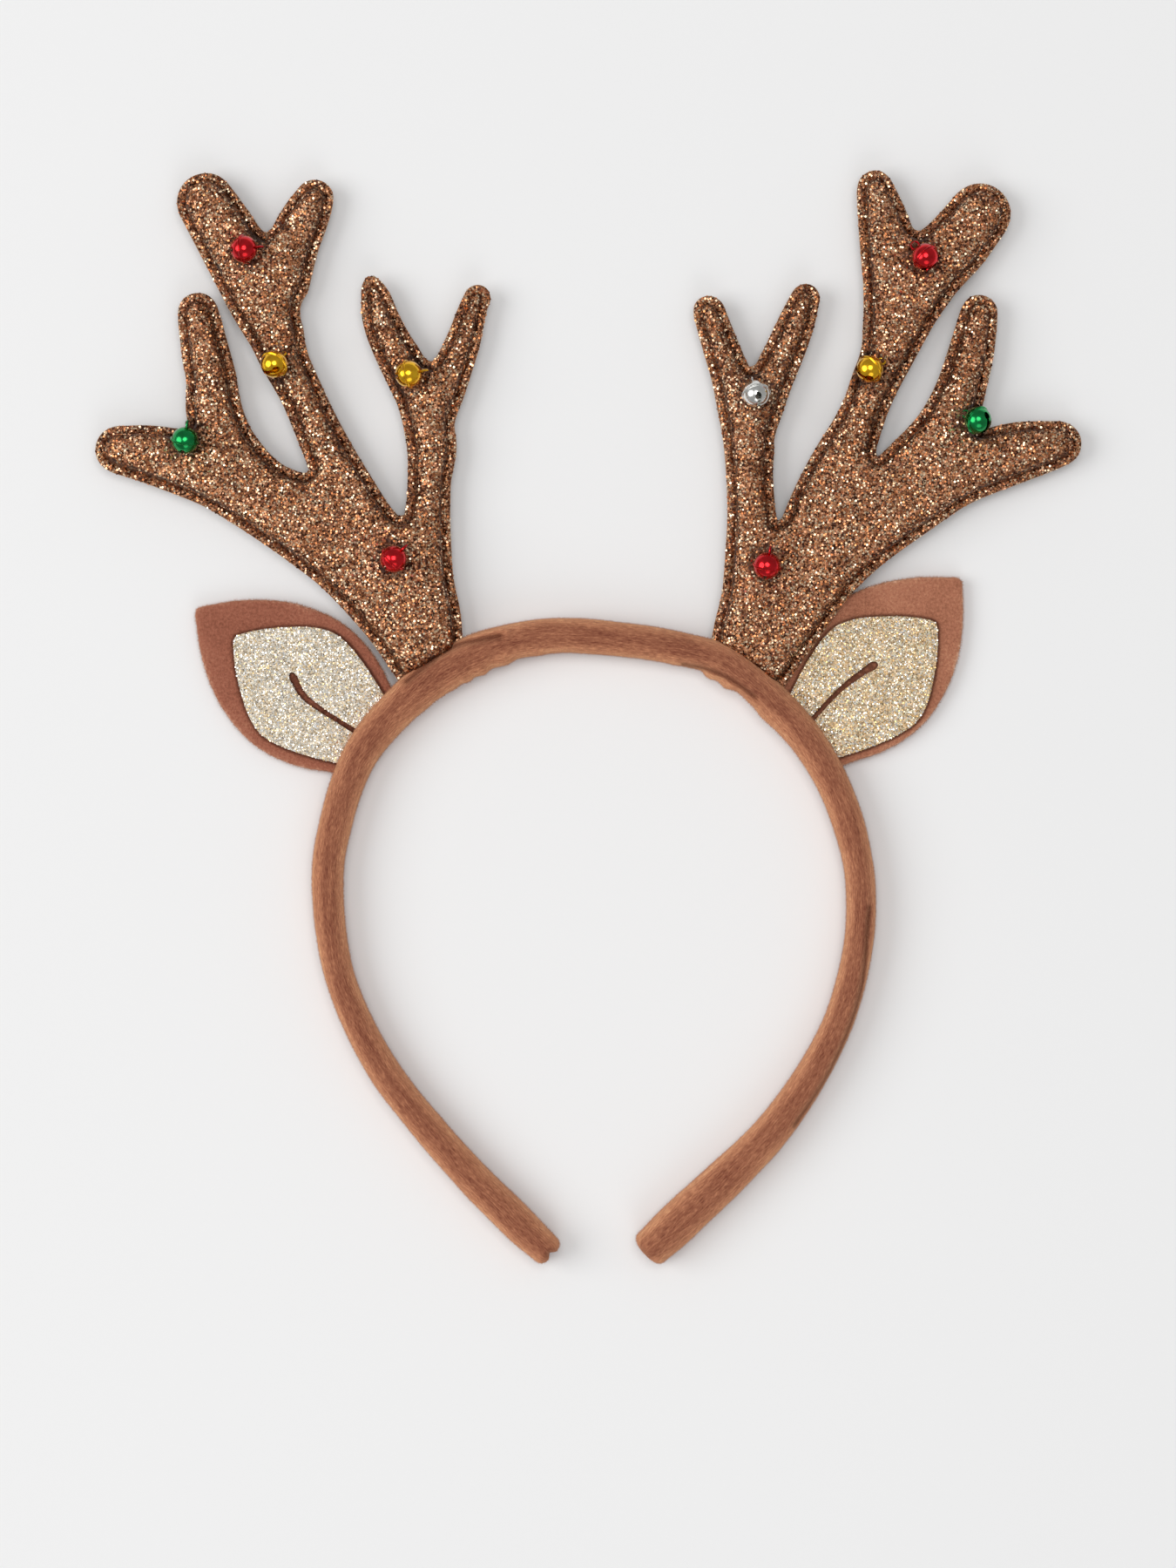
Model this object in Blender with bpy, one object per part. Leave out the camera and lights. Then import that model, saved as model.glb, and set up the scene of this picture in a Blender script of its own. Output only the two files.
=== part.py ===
# Reindeer antler headband, lying face up on a table.
#
# A padded hoop, open at the bottom, carries two stuffed glitter antlers, two
# velour ears with a glitter panel each, and ten small round bells.
# +X is the wearer's left, +Y points to the antler tips, +Z is up from the table.
# The origin is on the table, under the middle of the outline.
# Sizes are in millimetres. Each mesh is scaled to metres as it is made.

import math

import bmesh
import bpy
import numpy as np
from mathutils import Matrix, Vector
from mathutils.geometry import delaunay_2d_cdt

MM = 0.001
GAP = 0.35  # clear space between neighbouring pieces

# Hoop: a padded tube with a flat underside
BAND_DEPTH = 10.0
BAND_STEP = 8.6  # distance between cross-sections
BAND_ROWS = (
    # x, y, width, from the left end round the crown to the right end
    (-10.5, -134.5, 7.8),
    (-18.5, -127.0, 8.8),
    (-34.5, -110.5, 8.2),
    (-52.0, -88.5, 7.8),
    (-62.5, -66.0, 7.3),
    (-65.7, -44.0, 7.7),
    (-64.0, -28.0, 8.1),
    (-57.5, -9.5, 8.7),
    (-44.0, 6.0, 9.9),
    (-29.0, 15.6, 9.9),
    (-13.5, 20.0, 8.8),
    (2.0, 20.2, 8.6),
    (24.0, 17.0, 8.4),
    (37.5, 11.5, 9.2),
    (53.5, -3.5, 8.6),
    (63.5, -20.5, 8.0),
    (68.7, -41.0, 7.3),
    (67.5, -62.0, 7.2),
    (60.5, -83.0, 7.6),
    (46.0, -105.0, 9.0),
    (24.5, -126.0, 10.4),
    (16.0, -134.0, 9.6),
)
BAND_SECTION = (
    # across and up, as shares of half the width and of the depth
    (0.00, 1.00),
    (-0.48, 0.96),
    (-0.86, 0.81),
    (-1.00, 0.55),
    (-0.96, 0.28),
    (-0.80, 0.09),
    (-0.52, 0.00),
    (0.52, 0.00),
    (0.80, 0.09),
    (0.96, 0.28),
    (1.00, 0.55),
    (0.86, 0.81),
    (0.48, 0.96),
)
BAND_END = (
    # beyond, scale: the rounded ends, rings past the last row
    (1.3, 0.86),
    (2.1, 0.55),
)

# Antlers: two layers of fabric with a flat sewn margin and stuffing inside it
ANTLER_MIDDLE = 4.7  # height of the sewn margin above the table
MARGIN_THICKNESS = 1.6
MARGIN_WIDTH = 2.0
PUFF_MOST = 4.6  # how far the stuffing lifts a layer at the widest place
SHOULDER_WIDTH = 1.8  # where the steep edge of the stuffing ends
CROTCH_BLEND = 1.8
TAB_END = 1.6  # where an antler ends in the hoop, out from the hoop's middle line
HOOP_CLEAR = 0.9  # from the hoop to the foot of the stuffing
ANTLER_SPACING = 4.0  # distance between points along the outline
ANTLER_FILL = 6.4  # distance between points inside it

LEFT_TINES = {
    # x, y, width, each tine from its tip inwards
    "beam": (
        (-118.5, 67.5, 11.8),
        (-110.0, 66.2, 14.6),
        (-101.0, 63.8, 16.4),
        (-93.0, 61.0, 17.4),
        (-84.5, 56.5, 18.4),
        (-76.5, 52.3, 20.2),
        (-68.5, 48.0, 22.4),
        (-57.5, 41.5, 26.0),
        (-46.0, 28.5, 25.4),
        (-40.6, 15.0, 18.6),
        (-36.0, 7.5, 18.0),
    ),
    "outer tine": (
        (-98.5, 102.0, 10.2),
        (-96.5, 91.5, 12.0),
        (-95.0, 84.5, 12.6),
        (-94.5, 77.5, 14.0),
        (-91.5, 68.0, 15.6),
        (-84.5, 58.0, 17.0),
    ),
    "main tine": (
        (-96.5, 130.0, 14.6),
        (-89.5, 118.5, 16.4),
        (-82.5, 105.0, 16.2),
        (-78.7, 96.5, 13.8),
        (-77.0, 91.0, 12.1),
        (-72.5, 82.0, 10.8),
        (-68.0, 72.0, 11.4),
        (-63.0, 61.5, 13.0),
        (-57.5, 50.0, 15.6),
        (-54.0, 40.0, 18.0),
    ),
    "main spur": (
        (-69.0, 131.0, 9.4),
        (-71.5, 126.0, 11.8),
        (-74.5, 119.5, 13.0),
        (-77.5, 109.5, 14.0),
    ),
    "inner tine": (
        (-54.8, 109.5, 4.4),
        (-53.5, 105.5, 7.4),
        (-52.5, 101.0, 9.0),
        (-50.3, 95.5, 10.0),
        (-46.5, 88.5, 11.2),
        (-42.0, 80.0, 12.2),
        (-39.5, 69.0, 12.4),
        (-40.0, 61.0, 10.9),
        (-40.3, 54.5, 10.9),
        (-41.0, 46.5, 12.4),
        (-43.5, 32.0, 19.0),
    ),
    "inner spur": (
        (-27.8, 106.0, 6.4),
        (-29.3, 102.5, 7.0),
        (-31.3, 95.5, 8.4),
        (-34.0, 88.5, 9.6),
        (-37.5, 80.0, 11.0),
    ),
}
RIGHT_TINES = {
    # x, y, width, each tine from its tip inwards
    "beam": (
        (119.0, 69.0, 11.2),
        (112.5, 67.7, 13.8),
        (106.5, 66.3, 15.4),
        (96.5, 63.0, 16.4),
        (90.0, 60.3, 17.4),
        (81.5, 55.3, 18.8),
        (73.0, 50.3, 20.4),
        (66.0, 45.8, 21.8),
        (57.0, 38.5, 24.0),
        (47.8, 28.5, 27.0),
        (40.7, 13.8, 21.2),
        (36.5, 7.0, 19.6),
    ),
    "outer tine": (
        (98.8, 102.0, 9.2),
        (97.0, 93.0, 11.2),
        (95.0, 85.5, 12.0),
        (92.5, 78.0, 13.4),
        (88.5, 70.0, 15.4),
        (80.5, 60.0, 18.0),
    ),
    "main tine": (
        (99.0, 127.0, 15.4),
        (93.0, 119.5, 16.6),
        (87.0, 113.5, 17.2),
        (80.2, 105.5, 18.8),
        (77.5, 98.0, 16.0),
        (75.6, 91.5, 13.2),
        (72.5, 84.5, 12.0),
        (70.0, 78.0, 11.4),
        (67.3, 71.5, 12.6),
        (64.0, 64.0, 15.0),
        (60.0, 54.5, 16.8),
        (55.5, 43.5, 17.0),
    ),
    "main spur": (
        (72.5, 133.5, 9.0),
        (74.5, 125.5, 12.4),
        (76.5, 116.5, 15.0),
        (78.0, 107.5, 16.4),
    ),
    "inner tine": (
        (30.5, 102.5, 7.8),
        (33.0, 95.0, 8.8),
        (36.0, 86.5, 9.8),
        (38.3, 79.0, 11.4),
        (40.5, 71.0, 12.8),
        (40.8, 61.0, 11.6),
        (41.3, 51.5, 12.0),
        (41.5, 43.0, 13.2),
        (43.5, 33.0, 18.6),
    ),
    "inner spur": (
        (55.0, 106.0, 6.9),
        (53.0, 100.5, 8.8),
        (50.0, 93.0, 9.8),
        (46.3, 85.0, 10.6),
        (43.0, 76.5, 11.4),
    ),
}

# Ears: a thick velour leaf, with a thin glitter leaf on its front
EAR_LOW = 1.5
EAR_THICKNESS = 2.0
EAR_EDGE = 0.6  # width of the softened rim
EAR_TAB_END = 1.4  # where an ear ends in the hoop, out from its middle line
EAR_UNDER_ANTLER = 1.5  # how far the right ear reaches under the antler's margin
EAR_SPACING = 3.0
PANEL_SPACING = 2.4
POCKET_GAP = 0.45  # clearance round a piece's end inside the hoop
POCKET_REACH = 10.0  # past the hoop's outer side
POCKET_SPACING = 1.5
CONTOUR_CELL = 0.6
TURN_WEIGHT = 2.0  # a radian of bend gets the points of this length
EAR_ROWS = (
    # along, half_width, from the tip to inside the hoop
    (52.4, 0.0),
    (50.0, 2.6),
    (44.0, 8.6),
    (36.0, 14.2),
    (28.0, 17.5),
    (20.0, 18.9),
    (12.0, 18.0),
    (5.0, 15.5),
    (0.0, 12.8),
    (-6.0, 10.5),
)
PANEL_THICKNESS = 0.7
PANEL_ROWS = (
    # along, half_width
    (40.2, 0.0),
    (38.4, 2.4),
    (35.0, 6.2),
    (30.0, 10.5),
    (25.0, 14.0),
    (20.0, 15.8),
    (15.0, 15.4),
    (10.0, 14.1),
    (5.0, 12.3),
    (0.0, 10.2),
    (-6.0, 8.0),
)
SLIT_ROWS = {
    # along, across, width: the slit from the panel's middle to the hoop
    "left": (
        (22.4, -0.9, 2.1),
        (17.5, 1.5, 1.8),
        (12.5, 1.8, 1.5),
        (7.0, 1.5, 1.3),
        (-8.0, 0.4, 1.4),
    ),
    "right": (
        (21.2, 2.0, 2.2),
        (17.5, 2.6, 1.8),
        (13.0, 2.9, 1.5),
        (7.0, 2.7, 1.3),
        (-8.0, 0.8, 1.4),
    ),
}
EAR_PLACES = {
    # base x, base y, heading of the ear and of its panel in degrees
    "left": (-57.2, -3.5, 143.7, 143.7),
    "right": (57.7, -2.2, 45.4, 40.8),
}

# Bells: a thin ball with a rim round its middle, a slot below and a loop on top
BELL_RADIUS = 3.4
BELL_WALL = 0.5
BELL_SIDES = 10
BALL_STEPS = 3  # rings of faces from a pole to the rim
HOLLOW_STEPS = 2
RIM_OUT = 0.3
RIM_HALF = 0.22
SLOT_WIDTH = 0.9
SLOT_END_RADIUS = 0.85
SLOT_END_OUT = 2.1
LOOP_RADIUS = 1.0
LOOP_WIRE = 0.28
LOOP_OUT = 0.75  # from the ball to the loop's centre
LOOP_SIDES = 8
WIRE_SIDES = 4
BELL_SEAT_GAP = 0.3
BELLS = {
    # x, y, heading and lift of the loop, turn of the slot, in degrees, then colour
    "bell_left_1": (-86.4, 117.3, 5, 18, 0, "red"),
    "bell_left_2": (-78.8, 88.4, 55, -38, 40, "gold"),
    "bell_left_3": (-45.1, 86.0, 10, 18, 0, "gold"),
    "bell_left_4": (-101.2, 69.3, 80, 20, 0, "green"),
    "bell_left_5": (-48.8, 39.5, 45, 22, 0, "red"),
    "bell_right_1": (84.7, 115.3, 130, -20, 90, "red"),
    "bell_right_2": (70.8, 87.3, 35, -30, 60, "gold"),
    "bell_right_3": (42.2, 81.0, 105, -35, 8, "silver"),
    "bell_right_4": (97.9, 74.4, 150, -38, 60, "green"),
    "bell_right_5": (44.9, 37.8, 80, 22, 0, "red"),
}

MATERIALS = {
    # red, green, blue, roughness, metallic
    "velvet": (0.352, 0.145, 0.072, 0.9, 0.0),
    "glitter_fabric": (0.300, 0.150, 0.080, 0.45, 0.5),
    "velour": (0.366, 0.136, 0.069, 0.95, 0.0),
    "pale_glitter": (0.680, 0.600, 0.450, 0.45, 0.4),
    "red": (0.600, 0.010, 0.015, 0.2, 1.0),
    "gold": (0.850, 0.560, 0.040, 0.2, 1.0),
    "green": (0.010, 0.330, 0.130, 0.2, 1.0),
    "silver": (0.780, 0.780, 0.760, 0.15, 1.0),
}


def clear_scene():
    for item in list(bpy.data.objects):
        bpy.data.objects.remove(item)


def make_material(name):
    red, green, blue, roughness, metallic = MATERIALS[name]
    material = bpy.data.materials.new(name)
    material.use_nodes = True
    shader = material.node_tree.nodes["Principled BSDF"]
    shader.inputs["Base Color"].default_value = (red, green, blue, 1.0)
    shader.inputs["Roughness"].default_value = roughness
    shader.inputs["Metallic"].default_value = metallic
    material.diffuse_color = (red, green, blue, 1.0)
    return material


def add_object(name, bm, material, parent):
    # Turn a mesh in millimetres into a smooth object in metres.
    bmesh.ops.scale(bm, vec=(MM, MM, MM), verts=bm.verts)
    mesh = bpy.data.meshes.new(name)
    bm.to_mesh(mesh)
    bm.free()
    return add_mesh_object(name, mesh, material, parent)


def add_mesh_object(name, mesh, material, parent):
    mesh.materials.append(material)
    mesh.shade_smooth()
    mesh.set_sharp_from_angle(angle=math.radians(40.0))
    item = bpy.data.objects.new(name, mesh)
    bpy.context.scene.collection.objects.link(item)
    item.parent = parent
    return item


# Curves and distances in the plane of the hoop


def spline(rows, steps):
    # A smooth curve through the rows, with their other columns carried along.
    points = np.array(rows, float)
    points = np.vstack([2 * points[0] - points[1], points, 2 * points[-1] - points[-2]])
    curve = []
    for before, start, end, after in zip(points, points[1:], points[2:], points[3:]):
        for share in np.arange(steps) / steps:
            bend = 2 * before - 5 * start + 4 * end - after
            twist = 3 * start - before - 3 * end + after
            turn = (end - before) * share + bend * share**2 + twist * share**3
            curve.append(start + 0.5 * turn)
    curve.append(points[-2])
    return np.array(curve)


def stroke_distance(points, rows, steps=8):
    # Distance to a stroke whose width follows the rows, negative inside.
    curve = spline(rows, steps)
    nearest = np.full(len(points), np.inf)
    for start, end in zip(curve, curve[1:]):
        along = end[:2] - start[:2]
        share = np.clip((points - start[:2]) @ along / (along @ along), 0.0, 1.0)
        away = np.linalg.norm(points - start[:2] - share[:, None] * along, axis=1)
        half_width = 0.5 * (start[2] + share * (end[2] - start[2]))
        nearest = np.minimum(nearest, away - half_width)
    return nearest


def outline_distance(points, outline):
    # Distance to a closed outline, negative inside.
    nearest = np.full(len(points), np.inf)
    inside = np.zeros(len(points), bool)
    for start, end in zip(outline, np.roll(outline, -1, axis=0)):
        along = end - start
        share = np.clip((points - start) @ along / (along @ along), 0.0, 1.0)
        away = np.linalg.norm(points - start - share[:, None] * along, axis=1)
        nearest = np.minimum(nearest, away)
        crosses = (start[1] > points[:, 1]) != (end[1] > points[:, 1])
        if start[1] != end[1]:
            reach = start[0] + (points[:, 1] - start[1]) * along[0] / along[1]
            inside ^= crosses & (points[:, 0] < reach)
    return np.where(inside, -nearest, nearest)


def blended(first, second, reach):
    # The nearer of two distances, with a small fillet where they meet.
    overlap = np.maximum(reach - np.abs(first - second), 0.0) / reach
    return np.minimum(first, second) - overlap**2 * reach / 4


def band_field(points):
    return stroke_distance(points, BAND_ROWS)


def outside_hoop(points):
    # Distance out from the hoop's middle line, negative on the head's side.
    return outline_distance(points, spline(BAND_ROWS, 4)[:, :2])


def tines_field(points, tines):
    distance = np.full(len(points), 1000.0)
    for rows in tines.values():
        distance = blended(distance, stroke_distance(points, rows), CROTCH_BLEND)
    return distance


def antler_field(points, tines):
    return np.maximum(tines_field(points, tines), TAB_END - outside_hoop(points))


def stuffed_field(points, tines):
    # Where the two layers part: inside the sewn margin, and clear of the hoop.
    seam = antler_field(points, tines) + MARGIN_WIDTH
    return np.maximum(seam, HOOP_CLEAR - band_field(points))


def leaf_outline(rows, base_x, base_y, heading):
    # The rows on both sides of an axis that starts at the base.
    curve = spline(rows, 3)
    sides = np.vstack([curve, (curve * (1.0, -1.0))[:0:-1]])
    ahead = np.array((math.cos(math.radians(heading)), math.sin(math.radians(heading))))
    aside = np.array((-ahead[1], ahead[0]))
    return (base_x, base_y) + sides[:, :1] * ahead + sides[:, 1:] * aside


def ear_field(points, side, tines):
    base_x, base_y, heading, _ = EAR_PLACES[side]
    leaf = outline_distance(points, leaf_outline(EAR_ROWS, base_x, base_y, heading))
    clear_of_stuffing = -(tines_field(points, tines) + EAR_UNDER_ANTLER)
    return np.maximum(leaf, clear_of_stuffing)


def panel_field(points, side, tines):
    base_x, base_y, _, heading = EAR_PLACES[side]
    leaf = outline_distance(points, leaf_outline(PANEL_ROWS, base_x, base_y, heading))
    ahead = np.array((math.cos(math.radians(heading)), math.sin(math.radians(heading))))
    aside = np.array((-ahead[1], ahead[0]))
    slit_rows = []
    for along, across, width in SLIT_ROWS[side]:
        place = (base_x, base_y) + along * ahead + across * aside
        slit_rows.append((*place, width))
    slit = stroke_distance(points, slit_rows)
    clear_of_antler = GAP - tines_field(points, tines)
    return np.maximum.reduce([leaf, -slit, clear_of_antler])


# Solids made from a distance field


def contour(field, low, high, level, cell):
    # The closed loop where the field has this level: a fine grid is raised by
    # the field and cut by a flat plane.
    count = np.ceil((high - low) / cell).astype(int)
    bm = bmesh.new()
    bmesh.ops.create_grid(bm, x_segments=count[0], y_segments=count[1], size=0.5)
    bmesh.ops.triangulate(bm, faces=bm.faces)
    flat = np.array([vert.co.xy for vert in bm.verts])
    flat = low + (flat + 0.5) * (high - low)
    for vert, place, height in zip(bm.verts, flat, field(flat)):
        vert.co = (*place, height)
    cut = bmesh.ops.bisect_plane(
        bm,
        geom=bm.verts[:] + bm.edges[:] + bm.faces[:],
        dist=1e-4,
        plane_co=(0.0, 0.0, level),
        plane_no=(0.0, 0.0, 1.0),
    )["geom_cut"]
    loops = ordered_loops([item for item in cut if isinstance(item, bmesh.types.BMEdge)])
    bm.free()
    return loops


def ordered_loops(edges):
    links = {}
    for edge in edges:
        for one, other in (edge.verts[:], edge.verts[:][::-1]):
            links.setdefault(one, []).append(other)
    loops = []
    while links:
        start = next(iter(links))
        loop = []
        at = start
        while at in links:
            loop.append(at.co.xy.copy())
            ways = links.pop(at)
            at = next((way for way in ways if way in links), None)
        loops.append(np.array(loop))
    return loops


def respaced(loop, spacing, turn_weight=0.0):
    # Points round a closed loop, evenly spaced, or closer together in its bends.
    closed = np.vstack([loop, loop[:1]])
    lengths = np.linalg.norm(np.diff(closed, axis=0), axis=1)
    if turn_weight:
        ways = np.diff(closed, axis=0)
        angles = np.arctan2(ways[:, 1], ways[:, 0])
        turns = np.abs((np.diff(angles, append=angles[0]) + np.pi) % (2 * np.pi) - np.pi)
        lengths = lengths + turn_weight * 0.5 * (turns + np.roll(turns, 1))
    reached = np.concatenate([[0.0], np.cumsum(lengths)])
    count = max(6, round(reached[-1] / spacing))
    wanted = np.arange(count) * reached[-1] / count
    return np.stack([np.interp(wanted, reached, closed[:, i]) for i in (0, 1)], axis=1)


def filled_rings(rings, low, high, spacing, fill=None, turn_weight=TURN_WEIGHT):
    # Points and triangles of the flat shape. Each ring is a field and its level,
    # from the outermost one in.
    points = []
    edges = []
    for field, level in rings:
        for loop in contour(field, low, high, level, CONTOUR_CELL):
            if len(loop) < 8:
                continue
            ring = respaced(respaced(loop, 0.5 * spacing), spacing, turn_weight)
            first = len(points)
            points.extend(ring)
            edges += [(first + i, first + (i + 1) % len(ring)) for i in range(len(ring))]
    if fill:
        rows = np.arange(low[1], high[1], fill * math.sqrt(0.75))
        for index, y in enumerate(rows):
            xs = np.arange(low[0] + 0.5 * fill * (index % 2), high[0], fill)
            lattice = np.stack([xs, np.full(len(xs), y)], axis=1)
            points.extend(lattice[field(lattice) < level - 0.55 * fill])
    flat = [Vector(point) for point in points]
    made = delaunay_2d_cdt(flat, edges, [], 1, 1e-5)
    return np.array([vert[:] for vert in made[0]]), made[2]


def two_sided(points, faces, top, bottom):
    # A closed solid from the same flat triangles at two heights.
    bm = bmesh.new()
    upper = [bm.verts.new((*point, z)) for point, z in zip(points, top)]
    lower = [bm.verts.new((*point, z)) for point, z in zip(points, bottom)]
    for face in faces:
        bm.faces.new([upper[i] for i in face])
    rim = [edge for edge in bm.edges if len(edge.link_faces) == 1]
    index = {vert: i for i, vert in enumerate(upper)}
    rim = [tuple(index[vert] for vert in edge.verts) for edge in rim]
    for face in faces:
        bm.faces.new([lower[i] for i in reversed(face)])
    for one, other in rim:
        bm.faces.new((upper[one], lower[one], lower[other], upper[other]))
    loose = [vert for vert in bm.verts if not vert.link_faces]
    bmesh.ops.delete(bm, geom=loose, context="VERTS")
    bmesh.ops.recalc_face_normals(bm, faces=bm.faces)
    return bm


def slab(field, low, high, spacing, bottom, top, turn_weight=TURN_WEIGHT):
    rings = [(field, 0.0)]
    points, faces = filled_rings(rings, low, high, spacing, turn_weight=turn_weight)
    count = len(points)
    return two_sided(points, faces, np.full(count, top), np.full(count, bottom))


def tines_box(tines):
    rows = np.array([row for tine in tines.values() for row in tine])
    return rows[:, :2].min(axis=0) - 12.0, rows[:, :2].max(axis=0) + 12.0


class Stuffing:
    # How far the stuffing lifts the fabric: a skin held at the seam and blown
    # up from inside, so that wide places rise more than narrow ones.

    def __init__(self, tines, cell=0.7, rounds=1500):
        self.low, high = tines_box(tines)
        self.cell = cell
        count = np.ceil((high - self.low) / cell).astype(int) + 1
        xs, ys = np.meshgrid(*(np.arange(n) * cell for n in count), indexing="ij")
        flat = self.low + np.stack([xs.ravel(), ys.ravel()], axis=1)
        free = (stuffed_field(flat, tines) < 0).reshape(xs.shape)
        skin = np.zeros(xs.shape)
        for _ in range(rounds):
            around = np.roll(skin, 1, 0) + np.roll(skin, -1, 0)
            around += np.roll(skin, 1, 1) + np.roll(skin, -1, 1)
            skin = free * (around + cell**2) / 4
        self.lift = PUFF_MOST * np.tanh(np.sqrt(2 * skin) / PUFF_MOST)

    def at(self, points):
        place = (points - self.low) / self.cell
        corner = np.clip(np.floor(place).astype(int), 0, np.array(self.lift.shape) - 2)
        x, y = corner.T
        across, up = np.clip(place - corner, 0.0, 1.0).T
        near = self.lift[x, y] * (1 - across) + self.lift[x + 1, y] * across
        far = self.lift[x, y + 1] * (1 - across) + self.lift[x + 1, y + 1] * across
        return near * (1 - up) + far * up


def make_antler(tines, stuffing):
    low, high = tines_box(tines)

    def outline(points):
        return antler_field(points, tines)

    def stuffed(points):
        return stuffed_field(points, tines)

    rings = ((outline, 0.0), (stuffed, 0.0), (stuffed, -SHOULDER_WIDTH))
    points, faces = filled_rings(rings, low, high, ANTLER_SPACING, ANTLER_FILL)
    lift = stuffing.at(points)
    lift[stuffed(points) > -0.4 * SHOULDER_WIDTH] = 0.0
    half = MARGIN_THICKNESS / 2
    most_down = ANTLER_MIDDLE - half
    top = ANTLER_MIDDLE + half + lift
    bottom = most_down - np.minimum(lift, most_down)
    return two_sided(points, faces, top, bottom)


def pocket(field, end, bottom, top, low, high):
    # The space that a piece's end needs in the hoop, with clearance all round.
    def grown(points):
        out = outside_hoop(points)
        beside = field(points) - POCKET_GAP
        behind = end - POCKET_GAP - out
        return np.maximum.reduce([beside, behind, out - POCKET_REACH])

    return slab(grown, low, high, POCKET_SPACING, bottom - GAP, top + GAP, 0.0)


def ear_box(side):
    base_x, base_y, heading, _ = EAR_PLACES[side]
    outline = leaf_outline(EAR_ROWS, base_x, base_y, heading)
    return outline.min(axis=0) - 4.0, outline.max(axis=0) + 4.0


def make_ear(side, tines):
    low, high = ear_box(side)

    def field(points):
        return np.maximum(ear_field(points, side, tines), EAR_TAB_END - outside_hoop(points))

    rings = ((field, 0.0), (field, -EAR_EDGE))
    points, faces = filled_rings(rings, low, high, EAR_SPACING)
    softened = np.where(field(points) > -0.5 * EAR_EDGE, 0.25 * EAR_THICKNESS, 0.0)
    top = EAR_LOW + EAR_THICKNESS - softened
    return two_sided(points, faces, top, EAR_LOW + softened)


def make_panel(side, tines):
    low, high = ear_box(side)
    bottom = EAR_LOW + EAR_THICKNESS + GAP

    def field(points):
        return np.maximum(panel_field(points, side, tines), EAR_TAB_END - outside_hoop(points))

    return slab(field, low, high, PANEL_SPACING, bottom, bottom + PANEL_THICKNESS)


def make_band():
    curve = spline(BAND_ROWS, 24)
    lengths = np.linalg.norm(np.diff(curve[:, :2], axis=0), axis=1)
    reached = np.concatenate([[0.0], np.cumsum(lengths)])
    count = round(reached[-1] / BAND_STEP)
    wanted = np.linspace(0.0, reached[-1], count + 1)
    rows = np.stack([np.interp(wanted, reached, curve[:, i]) for i in range(3)], axis=1)
    ahead = np.gradient(rows[:, :2], axis=0)
    ahead /= np.linalg.norm(ahead, axis=1)[:, None]

    rings = []
    for beyond, scale in reversed(BAND_END):
        rings.append((rows[0, :2] - beyond * ahead[0], ahead[0], rows[0, 2], scale))
    for row, way in zip(rows, ahead):
        rings.append((row[:2], way, row[2], 1.0))
    for beyond, scale in BAND_END:
        rings.append((rows[-1, :2] + beyond * ahead[-1], ahead[-1], rows[-1, 2], scale))

    bm = bmesh.new()
    loops = []
    for place, way, width, scale in rings:
        aside = np.array((way[1], -way[0]))
        loop = []
        for across, up in BAND_SECTION:
            flat = place + aside * across * scale * width / 2
            height = BAND_DEPTH * (0.5 + (up - 0.5) * scale)
            loop.append(bm.verts.new((*flat, height)))
        loops.append(loop)
    sides = len(BAND_SECTION)
    for near, far in zip(loops, loops[1:]):
        for i in range(sides):
            j = (i + 1) % sides
            bm.faces.new((near[i], near[j], far[j], far[i]))
    bm.faces.new(loops[0])
    bm.faces.new(loops[-1])
    bmesh.ops.recalc_face_normals(bm, faces=bm.faces)
    return bm


def cut_away(item, cutter_bm, name, parent):
    cutter = add_object(name, cutter_bm, item.data.materials[0], parent)
    cutter.hide_render = True
    cutter.display_type = "WIRE"
    modifier = item.modifiers.new(name, "BOOLEAN")
    modifier.operation = "DIFFERENCE"
    modifier.object = cutter


# Bell, standing on its slot with the loop on top


def turned(profile, sides):
    # A closed solid from a profile that starts and ends on the axis.
    bm = bmesh.new()
    verts = [bm.verts.new((radius, 0.0, height)) for radius, height in profile]
    edges = [bm.edges.new(pair) for pair in zip(verts, verts[1:])]
    bmesh.ops.spin(
        bm,
        geom=verts + edges,
        cent=(0.0, 0.0, 0.0),
        axis=(0.0, 0.0, 1.0),
        angle=2 * math.pi,
        steps=sides,
    )
    bmesh.ops.remove_doubles(bm, verts=bm.verts, dist=1e-3)
    bmesh.ops.recalc_face_normals(bm, faces=bm.faces)
    return bm


def arc(radius, start, end, steps):
    angles = np.radians(np.linspace(start, end, steps + 1))
    return [(radius * math.cos(angle), radius * math.sin(angle)) for angle in angles]


def bell_body():
    edge = math.degrees(math.asin(RIM_HALF / BELL_RADIUS))
    upper = [(0.0, BELL_RADIUS)] + arc(BELL_RADIUS, 90.0, edge, BALL_STEPS)[1:]
    lower = [(radius, -height) for radius, height in reversed(upper)]
    rim = [
        (BELL_RADIUS + RIM_OUT, RIM_HALF * 0.6),
        (BELL_RADIUS + RIM_OUT, -RIM_HALF * 0.6),
    ]
    return turned(upper + rim + lower, BELL_SIDES)


def bell_hollow():
    radius = BELL_RADIUS - BELL_WALL
    half = [(0.0, radius)] + arc(radius, 90.0, 0.0, HOLLOW_STEPS)[1:]
    return turned(half + [(r, -z) for r, z in reversed(half[:-1])], BELL_SIDES)


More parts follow.
